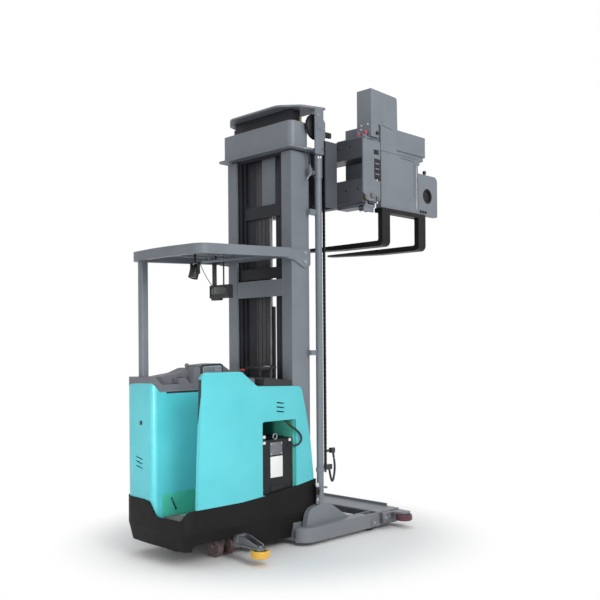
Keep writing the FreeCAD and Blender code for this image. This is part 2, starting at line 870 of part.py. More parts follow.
def make_stage2_top():
    low = collar_height + collar_thickness
    band = prism_z(band_outline(0), low, stage2_top)
    band = band.cut(prism_z([
        (band_front + 1, band_plate - band_half),
        (band_rear + band_plate, band_plate - band_half, band_corner - band_plate),
        (band_rear + band_plate, band_half - band_plate, band_corner - band_plate),
        (band_front + 1, band_half - band_plate)], low - 1, stage2_top + 1))
    collar = prism_z([
        (cylinder_x + 36, -collar_half - 18, 20), (-60, -collar_half - 18, 20), (-90, -collar_half),
        (collar_rear, -collar_half, 30), (collar_rear, collar_half, 30), (-90, collar_half),
        (-60, collar_half + 18, 20), (cylinder_x + 36, collar_half + 18, 20)],
        collar_height, collar_height + collar_thickness)
    opening = box(stage2_rear, cylinder_x + 100, -stage2_half, stage2_half, 0, 4000)
    collar = collar.cut(opening)
    front_trim = box(stage2_front, cylinder_x + 100, -cylinder_y + 36, cylinder_y - 36, 0, 4000)
    collar = collar.cut(front_trim)
    top = band.fuse(collar)
    for y in (cylinder_y, -cylinder_y):
        top = top.cut(rod(cylinder_x, y, collar_height - 1, lift_rod_neck, collar_thickness + 2))
    return top


keep("stage2_top", make_stage2_top())
keep("stage2_ties", Part.Compound(stage_ties(
    stage2_half, stage2_flange, stage2_rear, stage_lip,
    [(stage2_top - 240, stage2_top - 20), (stage2_top - 1214, stage2_top - 1124),
     (stage2_bottom, stage2_bottom + 185)])))


def make_lift_cylinder():
    bottom = foot_height
    barrel = rod(cylinder_x, cylinder_y, bottom, cylinder_radius, cylinder_top - bottom)
    head = rod(cylinder_x, cylinder_y, cylinder_top - 186, cylinder_head_radius, 186)
    ring = rod(cylinder_x, cylinder_y, bottom + 250, cylinder_head_radius, 30)
    clamp = box(mast_front - 30, cylinder_x, mast_half, cylinder_y, 1480, 1520)
    clamp_high = box(mast_front - 30, cylinder_x, mast_half, cylinder_y, 2600, 2640)
    shape = barrel.fuse([head, ring, clamp, clamp_high])
    bore = rod(cylinder_x, cylinder_y, bottom + 20, lift_rod_radius + lift_rod_gap,
               cylinder_top - bottom - 20 - gland_length)
    gland = rod(cylinder_x, cylinder_y, bottom + 20, lift_rod_radius + gland_gap, cylinder_top)
    return shape.cut(bore).cut(gland)


cylinder = make_lift_cylinder()
keep("lift_cylinder_left", cylinder)
keep("lift_cylinder_right", mirrored(cylinder))
lift_rod = rod(cylinder_x, cylinder_y, foot_height + 60, lift_rod_radius,
               collar_height - foot_height - 60)
lift_rod = lift_rod.fuse(rod(cylinder_x, cylinder_y, collar_height - 5, lift_rod_neck,
                             collar_thickness + 27))
keep("lift_rods", Part.Compound([lift_rod, mirrored(lift_rod)]))

stage3_channel = channel(stage3_half, stage3_rear, stage3_front, stage3_flange, stage_plate,
                         stage3_bottom, stage3_top)
stage3_channel = stage3_channel.fuse(runner_pad(
    stage3_half, web_gap - pad_gap, stage3_rear, stage3_front, stage3_bottom))
keep("stage3_channel_left", stage3_channel)
keep("stage3_channel_right", mirrored(stage3_channel))


def make_top_plate():
    plate = prism_z([
        (top_plate_front, -top_plate_half, 15), (top_plate_rear, -top_plate_half + 70, 60),
        (top_plate_rear - 130, -280, 120), (top_plate_rear - 130, 280, 120),
        (top_plate_rear, top_plate_half - 70, 60), (top_plate_front, top_plate_half, 15)],
        stage3_top, top_plate_height)
    outer = pulley_y + pulley_width / 2 + 22
    low = pulley_height - 220
    bracket = prism_y([
        (-15, low), (-15, stage3_top), (80, stage3_top), (80, pulley_height + 60),
        (100, pulley_height + 40, 20), (100, pulley_height - 90, 20), (80, pulley_height - 110),
        (80, low)], outer, outer + bracket_plate)
    pin = rod(pulley_x, pulley_y - pulley_width / 2 - 8, pulley_height, 14,
              outer - pulley_y + pulley_width / 2 + 8, "y")
    return plate.fuse([bracket, mirrored(bracket), pin, mirrored(pin)])


def make_stage3_ties():
    ties = stage_ties(stage3_half, stage3_flange, stage3_rear, stage_lip,
                      [(stage3_top - 160, stage3_top), (stage3_top - 830, stage3_top - 730),
                       (stage3_bottom, stage3_bottom + 155)])
    seat = box(stage3_rear + stage_lip, ram_x + ram_cylinder_radius, -60, 60,
               ram_bottom - 20, ram_bottom)
    return Part.Compound([ties[0], ties[1], ties[2].fuse(seat)])


keep("stage3_ties", make_stage3_ties())
keep("stage3_top", make_top_plate())


def make_pulley():
    half = pulley_width / 2
    wheel = turned([
        (14, -half), (pulley_radius, -half), (pulley_radius - 8, -half + 5),
        (pulley_radius - 8, half - 5), (pulley_radius, half), (14, half)],
        Vector(pulley_x, pulley_y, pulley_height), "y")
    return wheel


ram_cylinder = rod(ram_x, 0, ram_bottom, ram_cylinder_radius, ram_cylinder_top - ram_bottom)
ram_cylinder = ram_cylinder.cut(rod(ram_x, 0, ram_bottom + 40, ram_rod_radius + lift_rod_gap,
                                    ram_cylinder_top - ram_bottom - 40 - gland_length))
ram_cylinder = ram_cylinder.cut(rod(ram_x, 0, ram_bottom + 40, ram_rod_radius + gland_gap,
                                    ram_cylinder_top))
keep("free_lift_cylinder", ram_cylinder)
ram_foot = ram_bottom + 60 + ram_travel
ram = rod(ram_x, 0, ram_foot, ram_rod_radius, ram_crosshead_top - 80 - ram_foot)
ram = ram.fuse(box(ram_x - 40, ram_x + 40, -120, 120, ram_crosshead_top - 80, ram_crosshead_top))
keep("free_lift_ram", ram)


def make_lift_lines():
    """Leaf chain and two hoses at one pulley, the hoses joined in a loop at their foot."""
    chain_x = pulley_x + pulley_radius - 8
    chain = box(chain_x - 3, chain_x + 9, pulley_y - 9, pulley_y + 9, chain_foot, pulley_height)
    anchor = rod(chain_x + 3, pulley_y, chain_foot - 60, 8, 62)
    hose = pipe([
        (hose_x, pulley_y, pulley_height - 20), (hose_x, pulley_y, 2000),
        (hose_x, pulley_y, 900), (hose_x + 2, pulley_y, chain_foot),
        (hose_x + 16, pulley_y, loop_bottom + 70), (hose_x + 44, pulley_y, loop_bottom),
        (hose_x + 72, pulley_y, loop_bottom + 75), (hose_x + 62, pulley_y, chain_foot + 60),
        (outer_hose_x, pulley_y, chain_foot + 160), (outer_hose_x, pulley_y, 1100), (outer_hose_x - 12, pulley_y, 2000),
        (outer_hose_x - 20, pulley_y, pulley_height - 20)], hose_radius)
    top_clamp = box(chain_x, outer_hose_x, pulley_y - 12, pulley_y + 12,
                    pulley_height - 60, pulley_height - 20)
    low_clamp = box(chain_x - 3, hose_x + 30, pulley_y - 14, pulley_y + 14, chain_foot - 40, chain_foot)
    high_clamp = box(outer_hose_x - 26, outer_hose_x + 18, pulley_y - 14, pulley_y + 14,
                     chain_foot + 90, chain_foot + 130)
    sleeve = rod(outer_hose_x - 1, pulley_y, chain_foot + 160, hose_radius + 3, 70)
    bridge = box(chain_x, outer_hose_x, pulley_y - 5, pulley_y + 5, chain_foot + 100, chain_foot + 120)
    return make_pulley().fuse([
        chain, anchor, hose, top_clamp, low_clamp, high_clamp, sleeve, bridge])


lines = make_lift_lines()
keep("lift_lines_left", lines)
keep("lift_lines_right", mirrored(lines))


# ------------------------------------------------------- legs and cross-beam
def make_leg():
    beam = prism_z([
        (leg_rear, leg_inner), (leg_front, leg_inner), (leg_front, leg_outer),
        (leg_rear, leg_outer, leg_corner)], leg_bottom, leg_top)
    foot = prism_y([
        (foot_rear, leg_top - 1), (foot_rear + 30, foot_height - 30, 90), (60, foot_height, 60),
        (150, foot_height, 60), (foot_front, leg_top - 1)], mast_half, foot_outer)
    foot = foot.cut(box(foot_rear - 50, body_front + 5, 0, body_half + 3, 0, 2000))
    foot = foot.cut(box(0, foot_front + 1, 0, leg_inner, 0, leg_top))
    leg = beam.fuse(foot)
    well = box(load_wheel_x - load_wheel_radius - wheel_room, load_wheel_x + load_wheel_radius + wheel_room,
               load_wheel_y - load_wheel_width / 2 - wheel_room,
               load_wheel_y + load_wheel_width / 2 + wheel_room, leg_bottom - 1, leg_top + 1)
    axle = rod(load_wheel_x, leg_inner, load_wheel_radius, caster_axle, leg_outer - leg_inner, "y")
    return leg.cut(well).fuse(axle)


leg = make_leg()
keep("leg_left", leg)
keep("leg_right", mirrored(leg))


def make_front_beam():
    beam = box(leg_front, front_beam_end, -leg_outer, leg_outer, leg_bottom, leg_top)
    beam = beam.cut(box(leg_front - 1, front_beam_end - 60, -leg_inner + 20, leg_inner - 20,
                        leg_bottom - 1, leg_top - 12))
    lip = box(front_beam_end - 14, front_beam_end, -beam_lip_half, beam_lip_half,
              leg_top, leg_top + beam_lip_height)
    low = front_roller_bottom + guide_roller_width + 4
    arm = prism_z([
        (front_roller_x - 70, leg_outer), (front_beam_end, leg_outer),
        (front_beam_end, guide_roller_y + 40, 38), (front_roller_x - 40, guide_roller_y + 40, 38)],
        low, low + roller_plate)
    pin = rod(front_roller_x, guide_roller_y, front_roller_bottom, roller_pin,
              low - front_roller_bottom)
    beam = beam.fuse(lip)
    arm = arm.fuse(pin)
    return beam.fuse([arm, mirrored(arm)])


keep("front_beam", make_front_beam())


def make_roller_bracket():
    low = rear_roller_bottom + guide_roller_width + 4
    arm = prism_z([
        (rear_roller_x - 38, body_half - 80), (rear_roller_x + 60, body_half - 80),
        (rear_roller_x + 38, guide_roller_y + 38, 36), (rear_roller_x - 38, guide_roller_y + 38, 36)],
        low, low + roller_plate)
    cheek = box(rear_roller_x - 20, rear_roller_x + 60, body_half - 80, body_half - 10,
                low, skirt_bottom + 118)
    body = leaning_shell(0)
    pin = rod(rear_roller_x, guide_roller_y, rear_roller_bottom, roller_pin,
              low - rear_roller_bottom)
    return arm.fuse(cheek).cut(body).fuse(pin)


bracket = make_roller_bracket()
keep("roller_bracket_left", bracket)
keep("roller_bracket_right", mirrored(bracket))


# ------------------------------------------------------------------ carriage
def make_carriage():
    front = box(carriage_x, carriage_x + carriage_plate, -carriage_half, carriage_half,
                carriage_bottom, carriage_top)
    window = box(carriage_x - 1, carriage_x + carriage_plate + 1, -150, 150,
                 carriage_bottom + 90, carriage_top - 90)
    front = front.cut(window)
    for side in (-1, 1):
        y = side * pulley_y
        front = front.cut(box(carriage_x - 1, carriage_x + carriage_plate + 1, y - 20, y + 18,
                              carriage_bottom - 1, hose_notch_top))
    side = box(carriage_side_rear, carriage_x, carriage_half - carriage_side, carriage_half,
               carriage_bottom, carriage_top)
    arm = box(arm_rear, carriage_x, arm_half - arm_thickness, arm_half, carriage_bottom, carriage_top)
    roller_x = (stage3_rear + stage3_front) / 2
    guide_radius = (stage3_front - stage3_rear) / 2 - stage_lip - pad_gap
    reach = stage3_half - stage_plate - stage_gap
    parts = [front, side, arm]
    for z in (carriage_bottom + 60, carriage_top - 60):
        parts.append(rod(roller_x, arm_half - 1, z, guide_radius, reach - arm_half + 1, "y"))
    half = parts[1].fuse(parts[2:])
    return front.fuse([half, mirrored(half)])


keep("carriage_frame", make_carriage())


def traverse_beam(low, high, groove_high):
    rear = carriage_x + carriage_plate
    beam = box(rear, beam_front, beam_right, beam_left, low, high)
    z0, z1 = (high - groove_depth, high + 1) if groove_high else (low - 1, low + groove_depth)
    groove = box(groove_rear, groove_front, beam_right - 1, beam_left + 1, z0, z1)
    return beam.cut(groove)


keep("traverse_beam_upper", traverse_beam(upper_beam_bottom, upper_beam_top, True))
keep("traverse_beam_lower", traverse_beam(lower_beam_bottom, lower_beam_top, False))


def make_end_plate(y):
    plate = prism_y([
        (end_plate_rear, end_plate_bottom), (end_plate_rear, carriage_top),
        (end_plate_front, carriage_top, 8), (end_plate_front, end_plate_bottom + 30),
        (end_plate_front - 40, end_plate_bottom), (end_plate_rear + 60, end_plate_bottom),
        (end_plate_rear, end_plate_bottom + 60)][1:], y, y + end_plate)
    notch = box(end_plate_front - 56, end_plate_front + 1, y - 1, y + end_plate + 1, 2875, 3025)
    return plate.cut(notch)


keep("end_plates", Part.Compound([make_end_plate(beam_left),
                                  make_end_plate(beam_right - end_plate)]))


# ------------------------------------------------------------- traverse head
def make_head_frame():
    main = box(head_rear, head_front, head_right, head_left, head_bottom, arm_top)
    keeper_rear = groove_rear + keeper_side_gap
    keeper_front = groove_front - keeper_side_gap
    upper = box(keeper_rear, head_rear, head_right, head_left,
                upper_beam_top + hook_gap, upper_beam_top + hook_gap + hook_plate)
    upper_keeper = box(keeper_rear, keeper_front, head_right, head_left,
                       upper_beam_top - groove_depth + hook_gap, upper_beam_top + hook_gap)
    pad = box(groove_front + 10, head_rear, head_right + 20, head_left - 20,
              upper_beam_top + pad_gap, upper_beam_top + hook_gap)
    low = lower_beam_bottom - hook_gap - hook_plate
    lower = box(keeper_rear, head_rear + 14, head_right, head_left, low, low + hook_plate)
    lower_web = box(head_rear, head_rear + 14, head_right, head_left, low, head_bottom)
    lower_keeper = box(keeper_rear, keeper_front, head_right, head_left,
                       low + hook_plate, lower_beam_bottom + groove_depth - hook_gap)
    arm = prism_z([
        (end_plate_front + hook_gap, head_side), (arm_end, head_side, 30), (arm_end, arm_left, 80),
        (head_front, arm_left), (head_front, head_right),
        (end_plate_front + hook_gap, head_right)], arm_bottom, arm_top)
    collar = prism_z([
        (cover_front - 10, head_side + 12), (arm_end - 15, head_side + 12, 30),
        (arm_end - 15, arm_left - 12, 60), (cover_front - 10, arm_left - 12)],
        arm_bottom - collar_drop, arm_bottom)
    fitting = box(cover_rear - 46, cover_rear, head_right + 30, head_right + 90,
                  upper_beam_top + hook_gap, upper_beam_top + hook_gap + hook_plate + 6)
    caps = [rod(cover_rear - 24, head_right + y, upper_beam_top + hook_gap + 10, 14, 34)
            for y in (34, 82)]
    rollers = [rod(x, head_right + 4, low - 12, 24, 60, "y") for x in (keeper_rear + 8, head_rear - 34)]
    hanger = box(keeper_rear - 14, head_rear, head_right + 4, head_right + 16, low - 40, low + 2)
    frame = main.fuse([upper, upper_keeper, pad, lower, lower_web, lower_keeper, arm, collar,
                       fitting, hanger] + caps + rollers)
    pin_hole = rod(turret_x, turret_y, arm_bottom - collar_drop - 1, 45 + pin_gap, 140)
    return frame.cut(pin_hole)


keep("head_frame", make_head_frame())


def make_head_cover():
    rail = upper_beam_top + hook_gap
    foot = rail + hook_plate
    cover = prism_y([
        (cover_rear, foot), (head_front, foot), (head_front, arm_top), (cover_front, arm_top),
        (cover_front - 6, cover_top - 25), (cover_front - 20, cover_top - 12),
        (cover_rear, cover_top)], head_side, cover_left)
    hollow = prism_y([
        (cover_rear + 6, foot + 6), (head_front - 6, foot + 6), (head_front - 6, arm_top + 6),
        (cover_front - 12, arm_top + 6), (cover_front - 18, cover_top - 32),
        (cover_rear + 6, cover_top - 8)], head_side + 6, cover_left - 6)
    main = box(head_rear, head_front, head_right, head_left, head_bottom, arm_top)
    return cover.cut(hollow).cut(main)


keep("head_cover", make_head_cover())


# -------------------------------------------------------------------- turret
swing_top = arm_bottom - collar_drop - turret_gap


def make_swing_frame():
    plate = prism_y([
        (swing_rear, swing_bottom), (swing_rear, swing_top, 10), (swing_front, swing_top, 30),
        (swing_front, swing_bottom)], head_side, head_side + swing_plate)
    top = prism_z([
        (swing_rear + 120, head_side), (fork_plate_rear + 24, head_side),
        (fork_plate_rear + 24, head_side + swing_plate), (turret_x + 80, swing_left, 60),
        (turret_x - 90, swing_left, 60), (swing_rear + 120, head_side + swing_plate)],
        swing_top - 40, swing_top)
    gusset = prism_x([
        (head_side + swing_plate, swing_top - 40), (swing_left + 20, swing_top - 40),
        (head_side + swing_plate, swing_bottom + 120)], turret_x - 60, turret_x - 36)
    gusset2 = gusset.translated(Vector(96, 0, 0))
    pin = rod(turret_x, turret_y, swing_top - 10, 45, 120)
    lower = box(swing_rear, fork_plate_rear + 24, head_side, head_side + swing_plate + 20,
                swing_bottom, swing_bottom + 40)
    return plate.fuse([top, gusset, gusset2, pin, lower])


keep("swing_frame", make_swing_frame())


def make_fork_plate():
    left = head_side + swing_plate
    plate = prism_y([
        (fork_plate_rear, swing_bottom), (fork_plate_rear, fork_plate_top),
        (fork_plate_front, fork_plate_top, 45), (fork_plate_front, swing_bottom, 15)],
        head_side, left)
    plate = plate.cut(rod(eye_x, head_side - 1, eye_height, eye_radius, swing_plate + 2, "y"))
    plate = plate.cut(box(0, fork_plate_rear + 24, -2000, 2000, 0, swing_bottom + 40))
    plate = plate.cut(rod(fork_plate_rear, head_side + swing_plate / 2, swing_bottom,
                          guide_rod_radius + 3, 600))
    link = box(swing_front, fork_plate_rear + 60, left, left + 20, 2760, 2980)
    return plate.fuse(link)


keep("fork_plate", make_fork_plate())
keep("guide_rod", rod(fork_plate_rear, head_side + swing_plate / 2, swing_bottom + 40,
                      guide_rod_radius, swing_top - 40 - swing_bottom - 40))


def make_fork(x):
    back = fork_back
    tip = fork_back + fork_length
    profile = prism_x([
        (back, fork_bar_bottom), (back, blade_top - fork_thickness, fork_thickness),
        (tip - 600, blade_top - fork_thickness + 4), (tip, blade_top - fork_tip),
        (tip, blade_top), (back + fork_thickness, blade_top, 14),
        (back + fork_thickness, fork_bar_bottom)], x - fork_width / 2, x + fork_width / 2)
    plan = prism_z([
        (x - fork_width / 2, back), (x + fork_width / 2, back), (x + fork_width / 2, tip, 36),
        (x - fork_width / 2, tip, 36)], blade_top - fork_thickness - 10, fork_bar_bottom + 10)
    return profile.common(plan)


keep("fork_rear", make_fork(fork_rear_x))
keep("fork_front", make_fork(fork_front_x))
keep("fork_bar", box(fork_rear_x - fork_width / 2, fork_front_x + fork_width / 2, fork_back,
                     head_side + swing_plate + 20, fork_bar_bottom, swing_bottom))


# -------------------------------------------------------------- running gear
def wheel(radius, width, bore, edge, hub, dish):
    """(radius, offset) outline of a wheel about its own middle."""
    half = width / 2
    return [
        (bore, -half), (hub, -half), (hub + 4, -half + dish), (radius - 22, -half + dish),
        (radius - 18, -half), (radius - edge, -half), (radius, edge - half),
        (radius, half - edge), (radius - edge, half), (radius - 18, half),
        (radius - 22, half - dish), (hub + 4, half - dish), (hub, half),
        (bore, half)]


keep("drive_wheel", turned(wheel(drive_radius, drive_width, drive_axle + pin_gap, 12, 50, 14),
                           Vector(drive_x, drive_y, drive_radius), "y"))


def make_drive_fork():
    half = drive_width / 2
    disc = rod(drive_x, drive_y, 332, steer_radius, drive_plate_height - 332 - pad_gap)
    cheek = prism_y([
        (drive_x - 70, 340), (drive_x - 60, 90, 50), (drive_x + 60, 90, 50), (drive_x + 70, 340)],
        drive_y + half + 6, drive_y + half + 46)
    axle = rod(drive_x, drive_y - half - 4, drive_radius, drive_axle, 2 * half + 20, "y")
    return disc.fuse([cheek, axle])


keep("drive_fork", make_drive_fork())


def make_caster_fork():
    y = caster_y - caster_trail
    neck_half = caster_spacing - caster_width / 2 - 4
    neck = prism_x([
        (y - 30, caster_radius - 20, 28), (y + 30, caster_radius - 20, 28),
        (caster_y + 38, 250), (caster_y - 38, 250)], caster_x - neck_half, caster_x + neck_half)
    crown = rod(caster_x, caster_y, 240, 58, floor_height - 18 - 240 - 6)
    stem = rod(caster_x, caster_y, 250, guide_rod_radius + 5, floor_height - 250 - 2)
    axle = rod(caster_x - caster_spacing - caster_width / 2 - 6, y, caster_radius, caster_axle,
               2 * caster_spacing + caster_width + 12, "x")
    return neck.fuse([crown, stem, axle])


keep("caster_fork", make_caster_fork())
caster_pair = [
    turned(wheel(caster_radius, caster_width, caster_axle + pin_gap, 8, 26, 8),
           Vector(caster_x + side * caster_spacing, caster_y - caster_trail, caster_radius), "x")
    for side in (-1, 1)]
keep("caster_wheels", Part.Compound(caster_pair))

for side, name in ((1, "left"), (-1, "right")):
    keep("load_wheel_" + name, turned(
        wheel(load_wheel_radius, load_wheel_width, caster_axle + pin_gap, 6, 26, 4),
        Vector(load_wheel_x, side * load_wheel_y, load_wheel_radius), "y"))
    for end, x, low in (("rear", rear_roller_x, rear_roller_bottom),
                        ("front", front_roller_x, front_roller_bottom)):
        keep("guide_roller_" + end + "_" + name, turned(
            wheel(guide_roller_radius, guide_roller_width, roller_pin + pin_gap, 8, 26, 6),
            Vector(x, side * guide_roller_y, low + guide_roller_width / 2), "z"))

whole = Part.Compound(list(nodes.values())).BoundBox
print("pieces", len(nodes))
print("size", round(whole.XMin), round(whole.XMax), round(whole.YMin), round(whole.YMax),
      round(whole.ZMin), round(whole.ZMax))
for name, shape in nodes.items():
    if not shape.isValid() or shape.Volume <= 0:
        print("not valid:", name)
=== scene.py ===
import math

import bmesh
import bpy
from mathutils import Matrix, Vector


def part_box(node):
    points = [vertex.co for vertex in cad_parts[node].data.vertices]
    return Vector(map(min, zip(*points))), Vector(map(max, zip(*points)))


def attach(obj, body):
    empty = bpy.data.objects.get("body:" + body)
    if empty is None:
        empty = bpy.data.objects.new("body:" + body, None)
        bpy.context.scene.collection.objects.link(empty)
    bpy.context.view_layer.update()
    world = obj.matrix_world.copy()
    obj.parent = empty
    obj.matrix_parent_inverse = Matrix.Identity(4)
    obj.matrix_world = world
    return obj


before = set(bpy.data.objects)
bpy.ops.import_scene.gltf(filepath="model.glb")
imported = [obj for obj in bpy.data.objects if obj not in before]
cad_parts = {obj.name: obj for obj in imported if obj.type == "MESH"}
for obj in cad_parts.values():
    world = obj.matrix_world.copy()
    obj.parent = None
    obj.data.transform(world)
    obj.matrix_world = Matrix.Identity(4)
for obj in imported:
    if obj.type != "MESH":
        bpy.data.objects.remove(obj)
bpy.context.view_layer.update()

# %% [markdown]
# # A stand-on turret truck
# The truck comes in as a set of exact solids, one for each welded or moulded piece,
# and each of them already rides on the body that carries it. This lesson adds what
# the solids leave out: paint, plastic, rubber and oil, and the many small things
# that are bolted on. Everything is in metres, and a place is read from the solids.

# %% [markdown]
# ## Three small helpers
# Colours are easiest to name the way a paint shop does, as hex values. Blender works
# with linear light, so one function turns a hex colour into that. A second one feeds
# a node's inputs with values or links, and a third adds a node with its switches.

# %% Colours and nodes
def paint_chip(hex_colour):
    """A hex colour such as 7d8791 as linear RGBA."""
    shares = [int(hex_colour[i:i + 2], 16) / 255 for i in (0, 2, 4)]
    light = [s / 12.92 if s <= 0.04045 else ((s + 0.055) / 1.055) ** 2.4 for s in shares]
    return (*light, 1.0)


def feed(tree, node, inputs):
    """Set or link inputs: a number, a colour, a socket, or a node for its first output."""
    for name, value in inputs.items():
        if isinstance(value, bpy.types.Node):
            value = next(socket for socket in value.outputs if socket.enabled)
        if isinstance(value, bpy.types.NodeSocket):
            tree.links.new(value, node.inputs[name])
        else:
            node.inputs[name].default_value = value


def add_node(tree, kind, inputs=None, **switches):
    """A new node in the tree, with its switches set and its inputs fed."""
    made = tree.nodes.new(kind)
    for name, value in switches.items():
        setattr(made, name, value)
    feed(tree, made, inputs or {})
    return made


print("mast grey in linear light", [round(v, 3) for v in paint_chip("80868e")])

# %% [markdown]
# ## What every finish shares
# A real surface is never one flat colour. Its colour drifts a little over a hand's
# width, it has a fine relief, and its gloss changes where hands and dust have been.
# All three come from noise on Object coordinates, whose scale is worked out from a
# real size: a pattern that repeats every so many millimetres.

# %% A finish from its measured traits
def per_metre(millimetres):
    """The texture scale whose pattern repeats about once in that distance."""
    return 1000 / millimetres


def new_finish(name):
    """An empty material with its tree, its shader and its place coordinates."""
    finish = bpy.data.materials.new(name)
    finish.use_nodes = True
    tree = finish.node_tree
    shader = tree.nodes["Principled BSDF"]
    place = add_node(tree, "ShaderNodeTexCoord").outputs["Object"]
    return finish, tree, shader, place


def drifting_colour(tree, place, light, dark, size_mm, share=0.5):
    """A colour that wanders between two near tones over the given size."""
    drift = add_node(tree, "ShaderNodeTexNoise", {
        "Vector": place, "Scale": per_metre(size_mm), "Detail": 3.0, "Roughness": 0.55})
    spread = add_node(tree, "ShaderNodeMapRange", {
        "Value": drift, "From Min": 0.5 - share / 2, "From Max": 0.5 + share / 2})
    mix = add_node(tree, "ShaderNodeMix", {
        "Factor": spread, "A": paint_chip(light), "B": paint_chip(dark)}, data_type="RGBA")
    return mix


def wandering_gloss(tree, shader, place, low, high, size_mm):
    """Roughness between two values, in soft patches of the given size."""
    patches = add_node(tree, "ShaderNodeTexNoise", {
        "Vector": place, "Scale": per_metre(size_mm), "Detail": 4.0})
    span = add_node(tree, "ShaderNodeMapRange", {
        "Value": patches, "From Min": 0.3, "From Max": 0.7, "To Min": low, "To Max": high})
    feed(tree, shader, {"Roughness": span})


def fine_relief(tree, shader, place, size_mm, depth_mm, strength=0.3):
    """A bump of the given grain size and depth."""
    grain = add_node(tree, "ShaderNodeTexNoise", {
        "Vector": place, "Scale": per_metre(size_mm), "Detail": 2.0})
    bump = add_node(tree, "ShaderNodeBump", {
        "Height": grain, "Distance": depth_mm / 1000, "Strength": strength})
    feed(tree, shader, {"Normal": bump})

# %% [markdown]
# ## Enamel on steel
# Most of the truck is sheet and plate steel, sprayed with a two-part enamel. The
# spray leaves a faint orange peel, a few millimetres across, and dust settles where
# the truck meets the floor. A coat layer would double the shine, so only the glossy
# body panels get one.

# %% Enamels
DUST_TOP, DUST_FULL = 0.42, 0.02              # metres above the floor


def enamel(name, light, dark, gloss, peel_mm=4.0, peel_depth=0.12, coat=0.0, dusty="",
           shine=0.5):
    """Sprayed enamel. dusty is the colour that floor dust gives it below knee height."""
    finish, tree, shader, place = new_finish(name)
    colour = drifting_colour(tree, place, light, dark, 260)
    if dusty:
        height = add_node(tree, "ShaderNodeSeparateXYZ", {"Vector": place}).outputs["Z"]
        low_down = add_node(tree, "ShaderNodeMapRange", {
            "Value": height, "From Min": DUST_TOP, "From Max": DUST_FULL, "To Max": 0.5})
        speck = add_node(tree, "ShaderNodeTexNoise", {
            "Vector": place, "Scale": per_metre(35), "Detail": 5.0, "Roughness": 0.65})
        dust = add_node(tree, "ShaderNodeMath", {0: low_down, 1: speck}, operation="MULTIPLY")
        colour = add_node(tree, "ShaderNodeMix", {
            "Factor": dust, "A": colour, "B": paint_chip(dusty)}, data_type="RGBA")
    feed(tree, shader, {"Base Color": colour})
    wandering_gloss(tree, shader, place, gloss, gloss + 0.12, 90)
    # Real orange peel is 1 to 2 mm across. It is drawn a few times coarser, to show at all.
    fine_relief(tree, shader, place, peel_mm, peel_depth)
    shader.inputs["IOR"].default_value = 1.5
    shader.inputs["Specular IOR Level"].default_value = shine
    shader.inputs["Coat Weight"].default_value = coat
    shader.inputs["Coat Roughness"].default_value = 0.12
    return finish


# Powder coat on the body panels: an even, soft sheen under a thin clear layer.
body_aqua = enamel("aqua_powder_coat", "5ccad3", "50c0c9", 0.32, coat=0.2)
# Enamel on the mast: flatter, and greyed by dust near the floor.
mast_grey = enamel("blue_grey_enamel", "80868e", "747a82", 0.4, dusty="8c8984")
# The moving stages' enamel, dulled by grease until it hardly shines.
stage_grey = enamel("dark_greased_enamel", "303137", "232429", 0.4, shine=0.25)
# Structure enamel on the skirt: rough to the finger, nearly without gloss.
skirt_black = enamel("black_structure_enamel", "202021", "1a1a1b", 0.5, 3.0, 0.2,
                     dusty="232220", shine=0.12)
# Enamel on the machined beams: smooth, so broad faces carry one soft highlight.
beam_charcoal = enamel("charcoal_beam_enamel", "484950", "3e3f45", 0.36)
# Black enamel over forging scale: a coarse relief breaks up the highlight.
fork_black = enamel("black_forging_enamel", "171718", "0f0f10", 0.42, 6.0, 0.25, shine=0.25)
# Thick enamel on the battery's steel tray: dull and near to black.
battery_black = enamel("battery_tray_enamel", "232427", "1a1b1d", 0.45, shine=0.25)
# A dip-painted housing, a little paler, so that its edges can be told.
motor_black = enamel("motor_enamel", "303136", "26272b", 0.4)
print("enamels", [m.name for m in bpy.data.materials])

# %% [markdown]
# ## Plastic, rubber and polyurethane
# The console is moulded with a leather-like grain, to hide finger marks. The mats
# are ribbed rubber. Wheels and rollers carry cast polyurethane, whose colour hardly
# drifts and whose skin is smooth, because it sets against a polished mould.

# %% Moulded and cast finishes
def moulding(name, light, dark, gloss, grain_mm=1.6, grain_depth=0.15, drift_mm=120):
    """A moulded plastic or rubber with a fine grain and no coat."""
    finish, tree, shader, place = new_finish(name)
    colour = drifting_colour(tree, place, light, dark, drift_mm)
    feed(tree, shader, {"Base Color": colour})
    wandering_gloss(tree, shader, place, gloss, gloss + 0.1, 60)
    # A moulding's grain is about 0.5 mm. It is drawn coarser, so that it still shows.
    fine_relief(tree, shader, place, grain_mm, grain_depth, 0.4)
    shader.inputs["IOR"].default_value = 1.47
    return finish


# Grained ABS: the grain scatters light, so the console looks soft and dry.
console_plastic = moulding("grained_console_plastic", "727379", "64656b", 0.5)
# Smooth ABS of lamps, knobs and buttons: black with a clear highlight.
lamp_plastic = moulding("black_lamp_housing", "222326", "17181a", 0.38)
# Worn rubber matting: no gloss, and paler where shoes have rubbed it.
mat_rubber = moulding("worn_ribbed_mat", "8a8681", "7a7671", 0.7, 3.0, 0.4)
# Soft vinyl over a pressure switch: pale green, with a finer grain.
mat_green = moulding("pale_green_sensor_mat", "8fc4ab", "80b39b", 0.6, 3.0, 0.3)
# Cast polyurethane tread: an even, slightly waxy brown.
tread_brown = moulding("brown_cast_tread", "6b5a58", "574645", 0.45)
# The same in black, roughened by the floor.
tread_black = moulding("black_cast_tread", "2a2a2b", "1d1d1e", 0.5)
# A polyurethane roller as it left its mould: clean, smooth and yellow.
roller_yellow = moulding("yellow_cast_roller", "efbf55", "e2af43", 0.35)
# A rose-brown one, duller from running on its track.
roller_red = moulding("rose_cast_roller", "70454e", "5c3840", 0.4)
